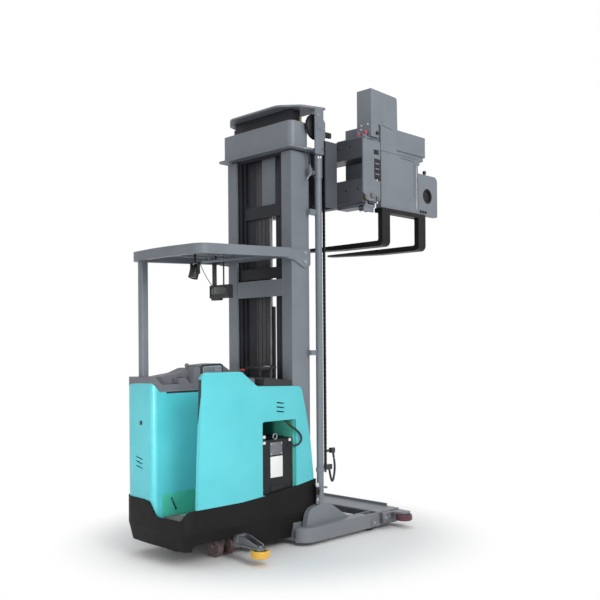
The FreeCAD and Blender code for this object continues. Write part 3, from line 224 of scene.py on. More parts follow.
# Extruded cable rubber: very fine, with a narrow highlight along it.
cable_rubber = moulding("black_cable_rubber", "1f2022", "17181a", 0.42, 1.2, 0.1)
# A greener teal sheet over the kick panel: matt, with a coarse grain that scuffs don't show on.
kick_green = moulding("green_kick_sheet", "45bba5", "38a992", 0.55, 2.5, 0.3)
# A dark, faintly teal strip laid along a gap.
gap_line_dark = moulding("faint_teal_gap_dark", "2c3a3c", "1c2527", 0.5)
# A polished ABS button: bright red with a sharp highlight.
button_red = moulding("red_button_plastic", "c22a2c", "ad2325", 0.28, 2.0, 0.03)
# Dipped vinyl caps: rose, with a soft and waxy highlight.
cap_red = moulding("rose_vinyl_cap", "a8505c", "8f404b", 0.4, 2.0, 0.06)
# Nylon: milky white and half matt.
white_nylon = moulding("white_nylon", "dcdedd", "cfd2d1", 0.42, 1.5, 0.06)
# Pale plastic of the display's keys; the same pale strip along the console's lower edge is a
# painted highlight.
pale_keys_and_highlight = moulding("pale_keys_and_painted_highlight", "8d8a92", "7e7b83", 0.45)
# Joint filler: dark and matt, so a seam reads as a gap.
seam_shadow = moulding("dark_joint_filler", "3a3d43", "2c2f34", 0.6)
# Painted shade for the inside of a bore, slot or opening: next to no light comes back from it.
slot_shadow = moulding("painted_opening_shade", "18191b", "101113", 0.6)
# Primer inside the body: green, matt, and never polished.
inner_green = moulding("green_primer_inside", "4db39e", "3f9f8b", 0.5, 3.0, 0.1)
# Painted shade of the lift cylinder inside the mast: a dark grey with a half gloss.
cylinder_shade_grey = moulding("painted_cylinder_shade", "3a393b", "2e2d2f", 0.4, 3.0, 0.1)

# %% [markdown]
# ## Bare metal
# Ground rods are hard chrome, nearly a mirror. Chains are oiled steel, darker and
# duller. Castings keep the skin of their sand mould, which scatters light.

# %% Metals
def metal(name, light, dark, gloss, relief_mm=2.0, relief_depth=0.1):
    """A metal surface. It keeps the default IOR, because its metallic share is one."""
    finish, tree, shader, place = new_finish(name)
    colour = drifting_colour(tree, place, light, dark, 70)
    feed(tree, shader, {"Base Color": colour})
    wandering_gloss(tree, shader, place, gloss, gloss + 0.14, 40)
    # Grinding marks are too fine to show. A 2 mm ripple in the metal stands for them.
    fine_relief(tree, shader, place, relief_mm, relief_depth)
    shader.inputs["Metallic"].default_value = 1.0
    return finish


# Hard chrome on the lift rods: a mirror, slightly blurred by a film of oil.
chrome = metal("hard_chrome", "a9acb1", "989ba0", 0.2)
# Chain steel in oil: dark, with small sharp glints.
oiled_chain = metal("oiled_chain_steel", "55555a", "37373b", 0.38)
# A sand-cast skin. Its 3 mm relief is coarser than real sand, so that it shows.
cast_steel = metal("sand_cast_steel", "8e9095", "76787d", 0.48, 3.0, 0.35)
# Bright zinc on screws and small hardware: pale and lively.
zinc_plate = metal("zinc_plated_screw", "b9bcc2", "9da0a7", 0.28)

# %% [markdown]
# ## Print, glass and what mixes two materials
# The display's plate is a silver printed film, and the screens are dark glass over
# black. One solid carries both the lift chain and the hoses beside it, so its finish
# changes from oiled steel to rubber at the distance where the chain ends.

# %% Film, glass, chain and hose
# Silver ink on film: a cool, flat grey that shines a little.
silver_print = enamel("silver_printed_film", "8f9da4", "818f96", 0.3, 2.0, 0.03)
# White enamel on a thin plate: half matt.
white_plate = enamel("white_coated_plate", "f2f2f0", "e6e6e4", 0.4, 3.0, 0.05)
# Glass over a dark screen: near black, under a mirror-like coat.
screen_glass = enamel("dark_screen_glass", "262c30", "1b2024", 0.06, 30.0, 0.02, coat=0.4)
# A display that is switched off, under clear film: smooth and grey.
display_grey = enamel("grey_display_film", "727e85", "667178", 0.18, 30.0, 0.02)
# A lens with moulded ribs: dark glass that ripples what it mirrors.
lens_glass = moulding("ribbed_lens_glass", "3d4144", "2e3134", 0.12, 5.0, 0.6)
# Steel polished by running: bright bands across a roller.
polished_steel = metal("polished_roller_steel", "9a9693", "6c6968", 0.18)
# Brass: a warm yellow metal.
brass = metal("yellow_brass", "a8905a", "8d7849", 0.3)


def chain_and_hose(split):
    """Oiled steel up to that distance along X, and black hose rubber beyond it."""
    finish, tree, shader, place = new_finish("oiled_chain_and_hose")
    forward = add_node(tree, "ShaderNodeSeparateXYZ", {"Vector": place}).outputs["X"]
    rubber = add_node(tree, "ShaderNodeMath", {0: forward, 1: split}, operation="GREATER_THAN")
    steel = drifting_colour(tree, place, "55555a", "37373b", 70)
    hose = drifting_colour(tree, place, "2c2d30", "1f2022", 120)
    colour = add_node(tree, "ShaderNodeMix", {"Factor": rubber, "A": steel, "B": hose},
                      data_type="RGBA")
    feed(tree, shader, {"Base Color": colour})
    bare = add_node(tree, "ShaderNodeMath", {0: 1.0, 1: rubber}, operation="SUBTRACT")
    feed(tree, shader, {"Metallic": bare})
    wandering_gloss(tree, shader, place, 0.38, 0.52, 40)
    fine_relief(tree, shader, place, 2.0, 0.1)
    return finish


# X = 140 mm lies between the chain and the hoses beside it.
lift_line_finish = chain_and_hose(0.140)
# The carriage frame's enamel: the mast's blue-grey, darkened as painted shade.
carriage_shade_grey = enamel("carriage_enamel_painted_shade", "5b5f67", "50545b", 0.4)
# A ground rod without plating: grey metal with a broad highlight.
satin_rod = metal("satin_ground_rod", "8b8d92", "7b7d82", 0.42)
# Structure enamel on the hood: dark grey, and only faintly glossy.
hood_charcoal = enamel("charcoal_hood_enamel", "38383b", "2f2f32", 0.45, 3.0, 0.2, shine=0.3)
print("finishes in all", len(bpy.data.materials))

# %% [markdown]
# ## One finish for each solid
# Every solid arrives with a plain stand-in material that is named for its paint
# slot. A table from slot to finish repaints all of them in one loop, so a piece can
# never be forgotten.

# %% Repaint the solids
SLOT_FINISH = {
    "mast_grey": mast_grey, "stage_grey": stage_grey, "body_aqua": body_aqua,
    "skirt_black": skirt_black, "console_charcoal": console_plastic,
    "beam_charcoal": beam_charcoal, "fork_black": fork_black, "bright_rod": chrome,
    "battery_case": battery_black, "motor_dark": motor_black, "floor_rubber": mat_rubber,
    "tread_brown": tread_brown, "tread_black": tread_black, "roller_yellow": roller_yellow,
    "roller_red": roller_red, "chain_steel": lift_line_finish, "lamp_black": lamp_plastic,
    "fork_steel": cast_steel, "cable_black": cable_rubber,
}
for node_name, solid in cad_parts.items():
    solid.data.materials[0] = SLOT_FINISH[solid.data.materials[0].name]
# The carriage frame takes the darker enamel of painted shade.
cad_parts["carriage_frame"].data.materials[0] = carriage_shade_grey   # darker than the mast
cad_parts["hood_cover"].data.materials[0] = hood_charcoal       # lighter than the skirt
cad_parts["guide_rod"].data.materials[0] = satin_rod            # ground, but not plated
print("repainted", len(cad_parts), "solids")

# %% [markdown]
# ## Camera
# The truck is seen from its right rear corner at chest height, from about six
# metres away. The view is level, so uprights stay upright, and a small shift of the
# lens brings the high mast into the frame.

# %% The camera
eye = Vector((-4.654, -4.873, 1.55))
heading = math.radians(44.59)
roll = math.radians(-0.4)
camera_data = bpy.data.cameras.new("camera")
camera_data.sensor_width = 36
camera_data.lens = 48.72                      # millimetres, on a 36 mm wide sensor
camera_data.shift_y = 0.0775
camera_data.clip_end = 100
camera = bpy.data.objects.new("camera", camera_data)
bpy.context.scene.collection.objects.link(camera)
camera.location = eye
looking = Vector((math.cos(heading), math.sin(heading), 0))
camera.rotation_mode = "QUATERNION"
camera.rotation_quaternion = (looking.to_track_quat("-Z", "Y").to_matrix()
                              @ Matrix.Rotation(roll, 3, "Z")).to_quaternion()
bpy.context.scene.camera = camera
print("lens", round(camera_data.lens, 2), "mm")

# %% [markdown]
# ## Floor and light
# A studio sweep is easiest to fake: a wide floor that takes the shadow near the
# truck and fades to plain white further out, under a bright dome. Three broad soft
# lamps give the sheet metal a lighter side and a darker side, and a narrow one low
# down lifts the rear panels, as light thrown back by a floor does.

# %% Studio
def seen_straight(tree):
    """One for rays from the lens or a shiny surface, nought for the soft light between."""
    rays = add_node(tree, "ShaderNodeLightPath").outputs
    seen = rays["Is Camera Ray"]
    for kind in ("Is Glossy Ray", "Is Transmission Ray"):
        seen = add_node(tree, "ShaderNodeMath", {0: seen, 1: rays[kind]}, operation="MAXIMUM")
    return seen


def studio_floor():
    """White board that shows the truck's shadow, and glows plain white past the fade."""
    finish, tree, shader, place = new_finish("studio_floor")
    shader.inputs["Base Color"].default_value = (0.93, 0.93, 0.93, 1)
    shader.inputs["Roughness"].default_value = 0.8
    shader.inputs["Specular IOR Level"].default_value = 0.15
    reach = add_node(tree, "ShaderNodeVectorMath", {0: place}, operation="LENGTH")
    fade = add_node(tree, "ShaderNodeMapRange", {
        "Value": reach, "From Min": 1.0, "From Max": 1.85}, interpolation_type="SMOOTHSTEP")
    white = add_node(tree, "ShaderNodeEmission", {"Color": (1, 1, 1, 1), "Strength": 1.0})
    share = add_node(tree, "ShaderNodeMath", {
        0: fade, 1: seen_straight(tree)}, operation="MULTIPLY")
    both = add_node(tree, "ShaderNodeMixShader", {0: share, 1: shader, 2: white})
    feed(tree, tree.nodes["Material Output"], {"Surface": both})
    return finish


floor_mesh = bpy.data.meshes.new("studio_floor")
floor_mesh.from_pydata([(-30, -30, 0), (30, -30, 0), (30, 30, 0), (-30, 30, 0)], [],
                       [(0, 1, 2, 3)])
floor = bpy.data.objects.new("studio_floor", floor_mesh)
bpy.context.scene.collection.objects.link(floor)
floor.data.materials.append(studio_floor())

world = bpy.data.worlds.new("studio")
world.use_nodes = True
bpy.context.scene.world = world
sky = world.node_tree
sky.nodes.clear()
dome = add_node(sky, "ShaderNodeBackground", {"Color": (0.97, 0.985, 1, 1), "Strength": 0.45})
backdrop = add_node(sky, "ShaderNodeBackground", {"Color": (1, 1, 1, 1), "Strength": 1.0})
chosen = add_node(sky, "ShaderNodeMixShader", {0: seen_straight(sky), 1: dome, 2: backdrop})
add_node(sky, "ShaderNodeOutputWorld", {"Surface": chosen})


def soft_lamp(name, place, aim, width, power, spread=180):
    """A round lamp of that width in metres, power in watts and spread in degrees."""
    data = bpy.data.lights.new(name, "AREA")
    data.shape = "DISK"
    data.size = width
    data.energy = power
    data.spread = math.radians(spread)
    lamp = bpy.data.objects.new(name, data)
    bpy.context.scene.collection.objects.link(lamp)
    lamp.location = place
    lamp.rotation_mode = "QUATERNION"
    lamp.rotation_quaternion = (Vector(aim) - Vector(place)).to_track_quat("-Z", "Y")
    return lamp


soft_lamp("key", (-1.5, -7.0, 5.0), (0, 0, 1.4), 4.0, 270)
soft_lamp("fill", (-7.0, 0.5, 3.0), (-0.6, 0, 1.2), 3.0, 10)
soft_lamp("low_fill", (-4.2, -2.7, 1.1), (-1.15, -0.03, 0.85), 1.0, 4.2, 34)
soft_lamp("top", (0.5, 0.5, 8.0), (0, 0, 1.0), 5.0, 150)
bpy.context.scene.view_settings.view_transform = "Standard"

# %% [markdown]
# ## Mesh tools for the small pieces
# Nearly every small piece is a rounded block, a turned piece, a flat plate or a bent
# rod. Five short functions make these as loose meshes, and another joins a few of
# them, marks the sharp edges, paints the result and bolts it to a body. Rounded
# edges matter more than one would think: they catch the light as real edges do. Every
# length given to them is in millimetres, as on a workshop drawing, and each divides by
# MM as it makes its points, because Blender works in metres.

# %% Mesh tools
MM = 1000                                     # millimetres in a metre


def block(low, high, edge=2):
    """A block between two corners, with rounded edges."""
    made = bmesh.new()
    low, high = Vector(low) / MM, Vector(high) / MM
    place = Matrix.Translation((low + high) / 2) @ Matrix.Diagonal((*(high - low), 1))
    bmesh.ops.create_cube(made, size=1, matrix=place)
    bmesh.ops.bevel(made, geom=made.edges[:], offset=edge / MM, segments=2,
                    profile=0.5, affect="EDGES")
    return made


def side_block(turn, low, high, edge):
    """A block given for the truck's left side, and its mirror image where turn is -1."""
    near, far = sorted((turn * low[1], turn * high[1]))
    return block((low[0], near, low[2]), (high[0], far, high[2]), edge)


def turned(profile, foot, axis, sides=28, ring=False):
    """A lathe piece from (distance along the axis, radius) pairs, solid or a ring."""
    made = bmesh.new()
    turn = Vector(axis).to_track_quat("Z", "X").to_matrix()
    rims = []
    for along, radius in profile:
        steps = [math.tau * i / sides for i in range(sides)]
        rims.append([made.verts.new((Vector(foot) + turn @ Vector(
            (radius * math.cos(a), radius * math.sin(a), along))) / MM) for a in steps])
    pairs = list(zip(rims, rims[1:])) + ([(rims[-1], rims[0])] if ring else [])
    for first, second in pairs:
        for i in range(sides):
            j = (i + 1) % sides
            made.faces.new((first[i], first[j], second[j], second[i]))
    if not ring:
        made.faces.new(rims[0])
        made.faces.new(rims[-1])
    return made


def plate(outline, foot, across, up, thickness, edge=0.8):
    """A flat plate: an outline in two directions, pushed out square to both."""
    made = bmesh.new()
    across, up = Vector(across), Vector(up)
    out = across.cross(up).normalized() * thickness
    corners = [Vector(foot) + across * a + up * b for a, b in outline]
    back = [made.verts.new(c / MM) for c in corners]
    front = [made.verts.new((c + out) / MM) for c in corners]
    made.faces.new(back)
    made.faces.new(front)
    for i in range(len(corners)):
        j = (i + 1) % len(corners)
        made.faces.new((back[i], back[j], front[j], front[i]))
    bmesh.ops.bevel(made, geom=made.edges[:], offset=edge / MM, segments=1, affect="EDGES")
    return made


def bent_rod(route, radius):
    """A round rod, wire or hose along a smooth line through its route."""
    line = bpy.data.curves.new("route", "CURVE")
    line.dimensions = "3D"
    line.bevel_depth = radius / MM
    line.bevel_resolution = 3
    line.use_fill_caps = True
    spline = line.splines.new("NURBS")
    spline.points.add(len(route) - 1)
    for point, place in zip(spline.points, route):
        point.co = (*(Vector(place) / MM), 1)
    spline.order_u = 3
    spline.use_endpoint_u = True
    holder = bpy.data.objects.new("route", line)
    mesh = bpy.data.meshes.new_from_object(holder)
    made = bmesh.new()
    made.from_mesh(mesh)
    bpy.data.objects.remove(holder)
    bpy.data.meshes.remove(mesh)
    return made


def fasten(piece, body, finish):
    """Paint a finished piece and let it ride on its body."""
    piece.data.materials.clear()
    piece.data.materials.append(finish)
    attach(piece, body)
    return piece


def fit(name, finish, body, parts):
    """Join loose meshes into one piece of the truck."""
    whole = bmesh.new()
    for part in parts:
        scrap = bpy.data.meshes.new("scrap")
        part.to_mesh(scrap)
        part.free()
        whole.from_mesh(scrap)
        bpy.data.meshes.remove(scrap)
    bmesh.ops.remove_doubles(whole, verts=whole.verts, dist=1e-6)
    bmesh.ops.recalc_face_normals(whole, faces=whole.faces)
    for face in whole.faces:
        face.smooth = True
    for edge in whole.edges:
        edge.smooth = len(edge.link_faces) == 2 and edge.calc_face_angle() < math.radians(38)
    mesh = bpy.data.meshes.new(name)
    whole.to_mesh(mesh)
    whole.free()
    piece = bpy.data.objects.new(name, mesh)
    bpy.context.scene.collection.objects.link(piece)
    print(name, len(mesh.polygons), "faces on", body)
    return fasten(piece, body, finish)

# %% [markdown]
# ## What repeats: Geometry Nodes
# A truck has a hundred screws. Each one could be a copy by hand, but a small node
# tree does it better: its input mesh is only a handful of points, and each point
# carries the direction that its screw faces. The tree puts a washer and a hexagon
# head on each. Its sizes are named inputs, so one tree serves every size of screw.

# %% Planting one shape on many points
def new_tree(name, sizes):
    """A modifier tree with a geometry input, float inputs by name, and a finish input."""
    tree = bpy.data.node_groups.new(name, "GeometryNodeTree")
    tree.interface.new_socket("Geometry", in_out="INPUT", socket_type="NodeSocketGeometry")
    for size in sizes:
        tree.interface.new_socket(size, in_out="INPUT", socket_type="NodeSocketFloat")
    tree.interface.new_socket("Finish", in_out="INPUT", socket_type="NodeSocketMaterial")
    tree.interface.new_socket("Geometry", in_out="OUTPUT", socket_type="NodeSocketGeometry")
    return tree, add_node(tree, "NodeGroupInput").outputs


def end_tree(tree, given, places, shape, turn=None):
    """Plant the shape on every place, make it real mesh, and paint it."""
    planted = add_node(tree, "GeometryNodeInstanceOnPoints", {
        "Points": places, "Instance": shape})
    if turn is not None:
        feed(tree, planted, {"Rotation": turn})
    real = add_node(tree, "GeometryNodeRealizeInstances", {"Geometry": planted})
    painted = add_node(tree, "GeometryNodeSetMaterial", {
        "Geometry": real, "Material": given["Finish"]})
    add_node(tree, "NodeGroupOutput", {"Geometry": painted})
    return tree


def facing_rotation(tree):
    """The turn that brings a shape's Z onto the direction stored with its point."""
    facing = add_node(tree, "GeometryNodeInputNamedAttribute", {"Name": "facing"},
                      data_type="FLOAT_VECTOR")
    return add_node(tree, "FunctionNodeAlignRotationToVector", {"Vector": facing}, axis="Z")


def halved(tree, value):
    """Half of a socket's value, for a radius out of a width."""
    return add_node(tree, "ShaderNodeMath", {0: value, 1: 0.5}, operation="MULTIPLY")


def lifted(tree, shape, height):
    """The shape moved up its own Z."""
    rise = add_node(tree, "ShaderNodeCombineXYZ", {"Z": height})
    return add_node(tree, "GeometryNodeTransform", {"Geometry": shape, "Translation": rise})


def grow(name, tree, points, sizes, finish, body):
    """Run a tree on points, each (place, direction), and keep the plain mesh it makes."""
    mesh = bpy.data.meshes.new(name)
    mesh.from_pydata([Vector(place) / MM for place, direction in points], [], [])
    facing = mesh.attributes.new("facing", "FLOAT_VECTOR", "POINT")
    for i, (place, direction) in enumerate(points):
        facing.data[i].vector = direction
    seed = bpy.data.objects.new(name, mesh)
    bpy.context.scene.collection.objects.link(seed)
    modifier = seed.modifiers.new("grow", "NODES")
    modifier.node_group = tree
    wanted = {size: value / MM for size, value in sizes.items()} | {"Finish": finish}
    for socket in tree.interface.items_tree:
        if socket.in_out == "INPUT" and socket.name in wanted:
            modifier[socket.identifier] = wanted[socket.name]
    bpy.context.view_layer.update()
    ready = seed.evaluated_get(bpy.context.evaluated_depsgraph_get())
    grown = bpy.data.meshes.new_from_object(ready)
    seed.modifiers.remove(modifier)
    seed.data = grown
    bpy.data.meshes.remove(mesh)
    print(name, len(grown.polygons), "faces on", body)
    return fasten(seed, body, finish)


screw_tree, given = new_tree("screws", ["Head width", "Head height", "Washer width"])
head_radius = halved(screw_tree, given["Head width"])
head = add_node(screw_tree, "GeometryNodeMeshCylinder", {
    "Vertices": 6, "Radius": head_radius, "Depth": given["Head height"]})
head = lifted(screw_tree, head, halved(screw_tree, given["Head height"]))
washer = add_node(screw_tree, "GeometryNodeMeshCylinder", {
    "Vertices": 16, "Radius": halved(screw_tree, given["Washer width"]), "Depth": 0.004})
screw = add_node(screw_tree, "GeometryNodeJoinGeometry", {"Geometry": head})
feed(screw_tree, screw, {"Geometry": washer})
end_tree(screw_tree, given, given["Geometry"], screw, facing_rotation(screw_tree))
SMALL, M8, M12, M16 = (
    {"Head width": head_width, "Head height": head_height, "Washer width": washer_width}
    for head_width, head_height, washer_width in ((10, 3, 12), (15, 5.5, 18), (21, 7.5, 26),
                                                  (27, 10, 32)))


def row(first, last, count):
    """Evenly spaced places from the first to the last."""
    first, last = Vector(first), Vector(last)
    return [first.lerp(last, i / (count - 1)) for i in range(count)]


def both_sides(points):
    """The same screws again on the other side of the truck's middle."""
    flip = Vector((1, -1, 1))
    return points + [(Vector(p) * flip, Vector(d) * flip) for p, d in points]


print("trees", [t.name for t in bpy.data.node_groups])

# %% [markdown]
# ## The operator's place
# The floor wears a ribbed rubber mat with a soft green one on it, and the kick panel
# a greener teal sheet. A rib is a half-sunk round bar, planted every sixteen
# millimetres. Places are worked out from the corners of the solids, and a line shot
# at a solid finds where a small piece touches it.

# %% Mats and kick panel
def mm(x, y, z):
    """A place, or a step from one, in millimetres."""
    return Vector((x, y, z))


def box_mm(node):
    """A solid's lowest and highest corners at rest, in millimetres."""
    return [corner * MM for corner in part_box(node)]


def touch(node, start, direction):
    """Where a straight line from start first meets a solid, and which way that face looks."""
    hit, place, normal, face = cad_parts[node].ray_cast(mm(*start) / MM, Vector(direction))
    if not hit:
        raise ValueError(f"nothing of {node} lies ahead of {start}")
    return place * MM, normal


RIGHT, LEFT, REARWARD, AHEAD, UP, DOWN = (
    (0, -1, 0), (0, 1, 0), (-1, 0, 0), (1, 0, 0), (0, 0, 1), (0, 0, -1))

rib_tree, given = new_tree("ribs", ["Rib width", "Rib length"])
rib = add_node(rib_tree, "GeometryNodeMeshCylinder", {
    "Vertices": 10, "Radius": halved(rib_tree, given["Rib width"]),
    "Depth": given["Rib length"]})
end_tree(rib_tree, given, given["Geometry"], rib, facing_rotation(rib_tree))

mat_low, mat_high = box_mm("floor_mat")
middle = (mat_low.y + mat_high.y) / 2
ribs = [(p, LEFT) for p in row((mat_low.x + 12, middle, mat_high.z),
                               (mat_high.x - 12, middle, mat_high.z), 34)]
grow("mat_ribs", rib_tree, ribs, {"Rib width": 7, "Rib length": 316},
     mat_rubber, "chassis")

wall = box_mm("rear_cover")[0].y
floor_top = mat_high.z
fit("kick_panel", kick_green, "chassis", [
    block((-1171, wall - 3, floor_top + 2), (-604, wall + 1, 486), 1.2)])
fit("floor_release_cord", lamp_plastic, "chassis", [
    bent_rod([(-1089, wall - 4, 446), (-1086, wall - 13, 420),
              (-1074, wall - 17, 392), (-1058, wall - 12, 372), (-1052, wall - 4, 368)], 4),
    turned([(0, 9), (4, 9), (7, 6)], (-1089, wall, 446), RIGHT),
    turned([(0, 9), (4, 9), (7, 6)], (-1052, wall, 368), RIGHT)])
fit("floor_sensor_mat", mat_green, "chassis", [
    block((-1040, -210, floor_top - 1), (-780, -47, floor_top + 5.5), 1.5)])
right_corner = [
    (-1150, -28), (-1206.5, -27.7), (-1218.9, -25.6), (-1230.2, -19.7), (-1238.6, -10.6),
    (-1241.3, 0), (-1241.6, 20), (-1240.9, 75), (-1220, 75), (-1150, -10)]
left_line = [touch("rear_cover", (x, 500, 470), RIGHT)[0] for x in range(-1150, -1050, 10)]
left_edge = [(p.x, p.y - 0.4) for p in left_line]
left_edge += [(x, y - 8) for x, y in reversed(left_edge)]
fit("rear_column_foot", body_aqua, "chassis", [
    plate([(x, y + 0.3) for x, y in right_corner], (0, 0, 300), AHEAD, LEFT, 156, 0.4),
    plate(left_edge, (0, 0, 400), AHEAD, LEFT, 53, 0.3)])

# %% [markdown]
# ## The right panel and the rear column
# The tall panel beside the operator is a steel skin over a black lining. A dark wedge
# lies along the gap at the top of its rear edge. The rear column has a lock for the
# cover, which is a turned barrel with a key slot.

# %% Panel wedge and lock
foot, _ = touch("side_panel_right", (-1300, -385, 1010), AHEAD)
head, _ = touch("side_panel_right", (-1300, -385, 1322), AHEAD)
along = (head - foot).normalized()
span = (head - foot).length
# A dark wedge along the gap at the top of the panel's rear edge.
fit("shoulder_dark_wedge", gap_line_dark, "chassis", [
    plate([(1.2, 0), (4, 0), (27, span * 0.62), (28.5, span), (1.2, span)],
          (foot.x, -370, foot.z), RIGHT, along, 3)])
lock_place, lock_face = touch("rear_cover", (-1300, 132, 999), AHEAD)
fit("cover_lock", lamp_plastic, "chassis", [
    turned([(-2, 16), (3, 16), (4.5, 13.5), (4.5, 11.5), (3.2, 11)], lock_place, lock_face)])
vent_wall, _ = touch("rear_cover", (-1150, 160, 700), REARWARD)
# A black sheet behind the rear vent: painted shade of the body's inside.
fit("rear_vent_shade_sheet", slot_shadow, "chassis", [
    block(vent_wall + mm(0.5, -80, -90), vent_wall + mm(2.5, 80, 90), 0.6)])
fit("lock_key_slot", zinc_plate, "chassis", [
    block(lock_place + mm(-4.6, -1.4, -6), lock_place + mm(-2, 1.4, 6), 0.4)])

# %% [markdown]
# ## The console
# The driver steers with one hand and lifts with the other. On the console stand a
# display with a silver plate and two small switches, and two round buttons stand
# behind the shoulder of the right panel: a red mushroom that cuts the power, and a
# black one. Knobs are lathe work: one profile turned round an axis.

# %% Display, buttons and knobs
side = wall + 20                              # right face of the display's housing
fit("display_frame", lamp_plastic, "chassis", [
    plate([(0, 0), (214, 0), (214, 66), (190, 76), (12, 68), (0, 58)],
          (-794, side + 1, 1348), AHEAD, UP, 8, 2.5)])
fit("display_plate", silver_print, "chassis", [
    plate([(0, 0), (186, 0), (186, 46), (168, 54), (8, 48), (0, 42)],
          (-780, side - 6, 1356), AHEAD, UP, 2.8, 1)])
fit("display_keys", pale_keys_and_highlight, "chassis", [
    block((x, side - 11.5, z), (x + 14, side - 8, z + 11), 1.2)
    for x in (-648, -628, -608) for z in (1364, 1384)])
fit("steering_display", screen_glass, "chassis", [
    block((-786.5, wall + 40, 1312), (-783.5, 166, 1388), 1)])
fit("display_window", display_grey, "chassis", [
    block((-772, side - 10.5, 1362), (-662, side - 8, 1396), 0.8)])
cut_foot, _ = touch("console", (-632, -300, 1500), DOWN)
fit("power_cut_column", lamp_plastic, "chassis", [
    turned([(-2, 18), (38, 18), (42, 13), (54, 13)], cut_foot, UP)])
fit("power_cut_button", button_red, "chassis", [
    turned([(53, 13), (55, 21), (60, 22), (65, 18), (67, 8)], cut_foot, UP)])
fit("dash_knob", lamp_plastic, "chassis", [
    turned([(-3, 12.8), (33.3, 12.8), (37, 8.8), (50.32, 8.8), (51.8, 16), (63.64, 16.32),
            (71.04, 12.8), (74, 5.6)], touch("console", (-723, -300, 1500), DOWN)[0], UP)])
switch_places = [touch("console", (x, 38, 1500), DOWN)[0] for x in (-970, -950)]
fit("armrest_switches", lamp_plastic, "chassis", [
    block(p + mm(-6, -9, -2), p + mm(6, 9, 5), 2) for p in switch_places])
# A thin pale strip along the console's lower edge: a painted highlight.
fit("console_painted_highlight", pale_keys_and_highlight, "chassis", [
    plate([(0, 0), (540, 0), (540, 6), (0, 6)], (-1130, wall + 2.5, 1228.5), AHEAD, UP, 3, 1)])
# A dark strip along the gap under the console's lower edge.
fit("console_underside_dark_strip", gap_line_dark, "chassis", [
    plate([(0, 0), (536, 0), (536, 14), (0, 14)], (-1128, wall + 3.5, 1214), AHEAD, UP, 5, 1)])
board_top, _ = touch("hood_cover", (-300, -175, 1500), DOWN)
fit("board_clip", zinc_plate, "chassis", [
    block((board_top.x + 28, -212, board_top.z - 1),
          (board_top.x + 52, -138, board_top.z + 3), 1),
    bent_rod([(board_top.x + 44, -205, board_top.z + 4),
              (board_top.x + 44, -175, board_top.z + 4),
              (board_top.x + 44, -145, board_top.z + 4)], 3)])

# %% [markdown]
# ## What shows in the battery bay
# A traction battery is a steel tray full of cells. Through the opening one sees its
# lifting eye, its white plugs, a zinc-plated plate, a plain rating plate and the
# handle slot. Both plates stay blank.

# %% Battery fittings
bay_low, bay_high = box_mm("battery")
face = bay_low.y                              # the battery's right face
ring_profile = [(4 * math.cos(a), 21 + 4 * math.sin(a))
                for a in [math.tau * i / 10 for i in range(10)]]
fit("battery_lifting_eye", zinc_plate, "chassis", [
    turned(ring_profile, (bay_low.x + 184, face + 12, bay_high.z + 24), RIGHT, 24, ring=True),
    block((bay_low.x + 172, face + 4, bay_high.z - 2),
          (bay_low.x + 196, face + 20, bay_high.z + 6), 1.5)])
fit("battery_plug_bracket", battery_black, "chassis", [
    block((bay_low.x + 30, face - 3, bay_high.z - 36),
          (bay_low.x + 68, face + 1, bay_high.z + 50), 1)])
fit("battery_plugs", white_nylon, "chassis", [
    block((bay_low.x + 34, face - 16, bay_high.z - 26),
          (bay_low.x + 62, face - 2, bay_high.z - 4), 2),
    block((bay_low.x + 34, face - 16, bay_high.z + 19),
          (bay_low.x + 62, face - 2, bay_high.z + 41), 2),
    block((bay_low.x + 312, face - 12, bay_high.z - 22),
          (bay_low.x + 336, face - 2, bay_high.z + 0), 2)])
fit("battery_zinc_plate", cast_steel, "chassis", [
    block((-425, face - 3, 722), (-298, face + 1, 820), 1)])
fit("battery_blank_plate", white_plate, "chassis", [
    block((-421, face - 2.5, 552), (-293, face + 1, 712), 1)])
chassis_screws = [((x, face - 3, z), RIGHT) for x in (-415, -308) for z in (733, 809)]
fit("battery_handle_rim", battery_black, "chassis", [
    block((-424, face - 4, 438), (-284, face + 1, 489), 2)])
# The dark inside of the handle slot: painted shade.
fit("shade_in_battery_handle", slot_shadow, "chassis", [
    block((-416, face - 4.8, 446), (-292, face - 3, 481), 0.8)])

# %% [markdown]
# ## Walls inside the body
# A line of sight through the vents or over the battery must not come out on the
# other side. The real body has thin painted walls there: one in front of the mast,
# one down the middle and a reveal round the opening. Black sheets of painted shade stand behind
# the vents.

# %% Inner walls, reveals and shade sheets
hood_low, hood_high = box_mm("hood_cover")
bay_front = hood_high.x - 1.5                 # just behind the mast's rear face
fit("bay_walls", inner_green, "chassis", [
    block((bay_front - 4, -382.5, 845), (bay_front, 382.5, hood_low.z + 20), 0.8),
    block((bay_low.x + 2, -2, bay_high.z + 2), (bay_front - 4, 2, hood_low.z + 20), 0.8)])
fit("bay_reveals", inner_green, "chassis", [
    side_block(turn, (bay_front + 2, 379, 440), (-163, 383.5, 990), 0.6) for turn in (-1, 1)])
# Black sheets behind the side vents: painted shade of the body's inside.
fit("side_vent_shade_sheets", slot_shadow, "chassis", [
    side_block(turn, (-400, 379, 1025), (-268, 383.5, 1150), 0.6) for turn in (-1, 1)])

# %% [markdown]
# ## Under the overhead guard
# The spot lamp gets its lens and its rim: a shallow glass bowl, turned about the
# lamp's own leaning axis. The terminal gets its screen and keys, and a thin lead
# runs down from the roof to it.

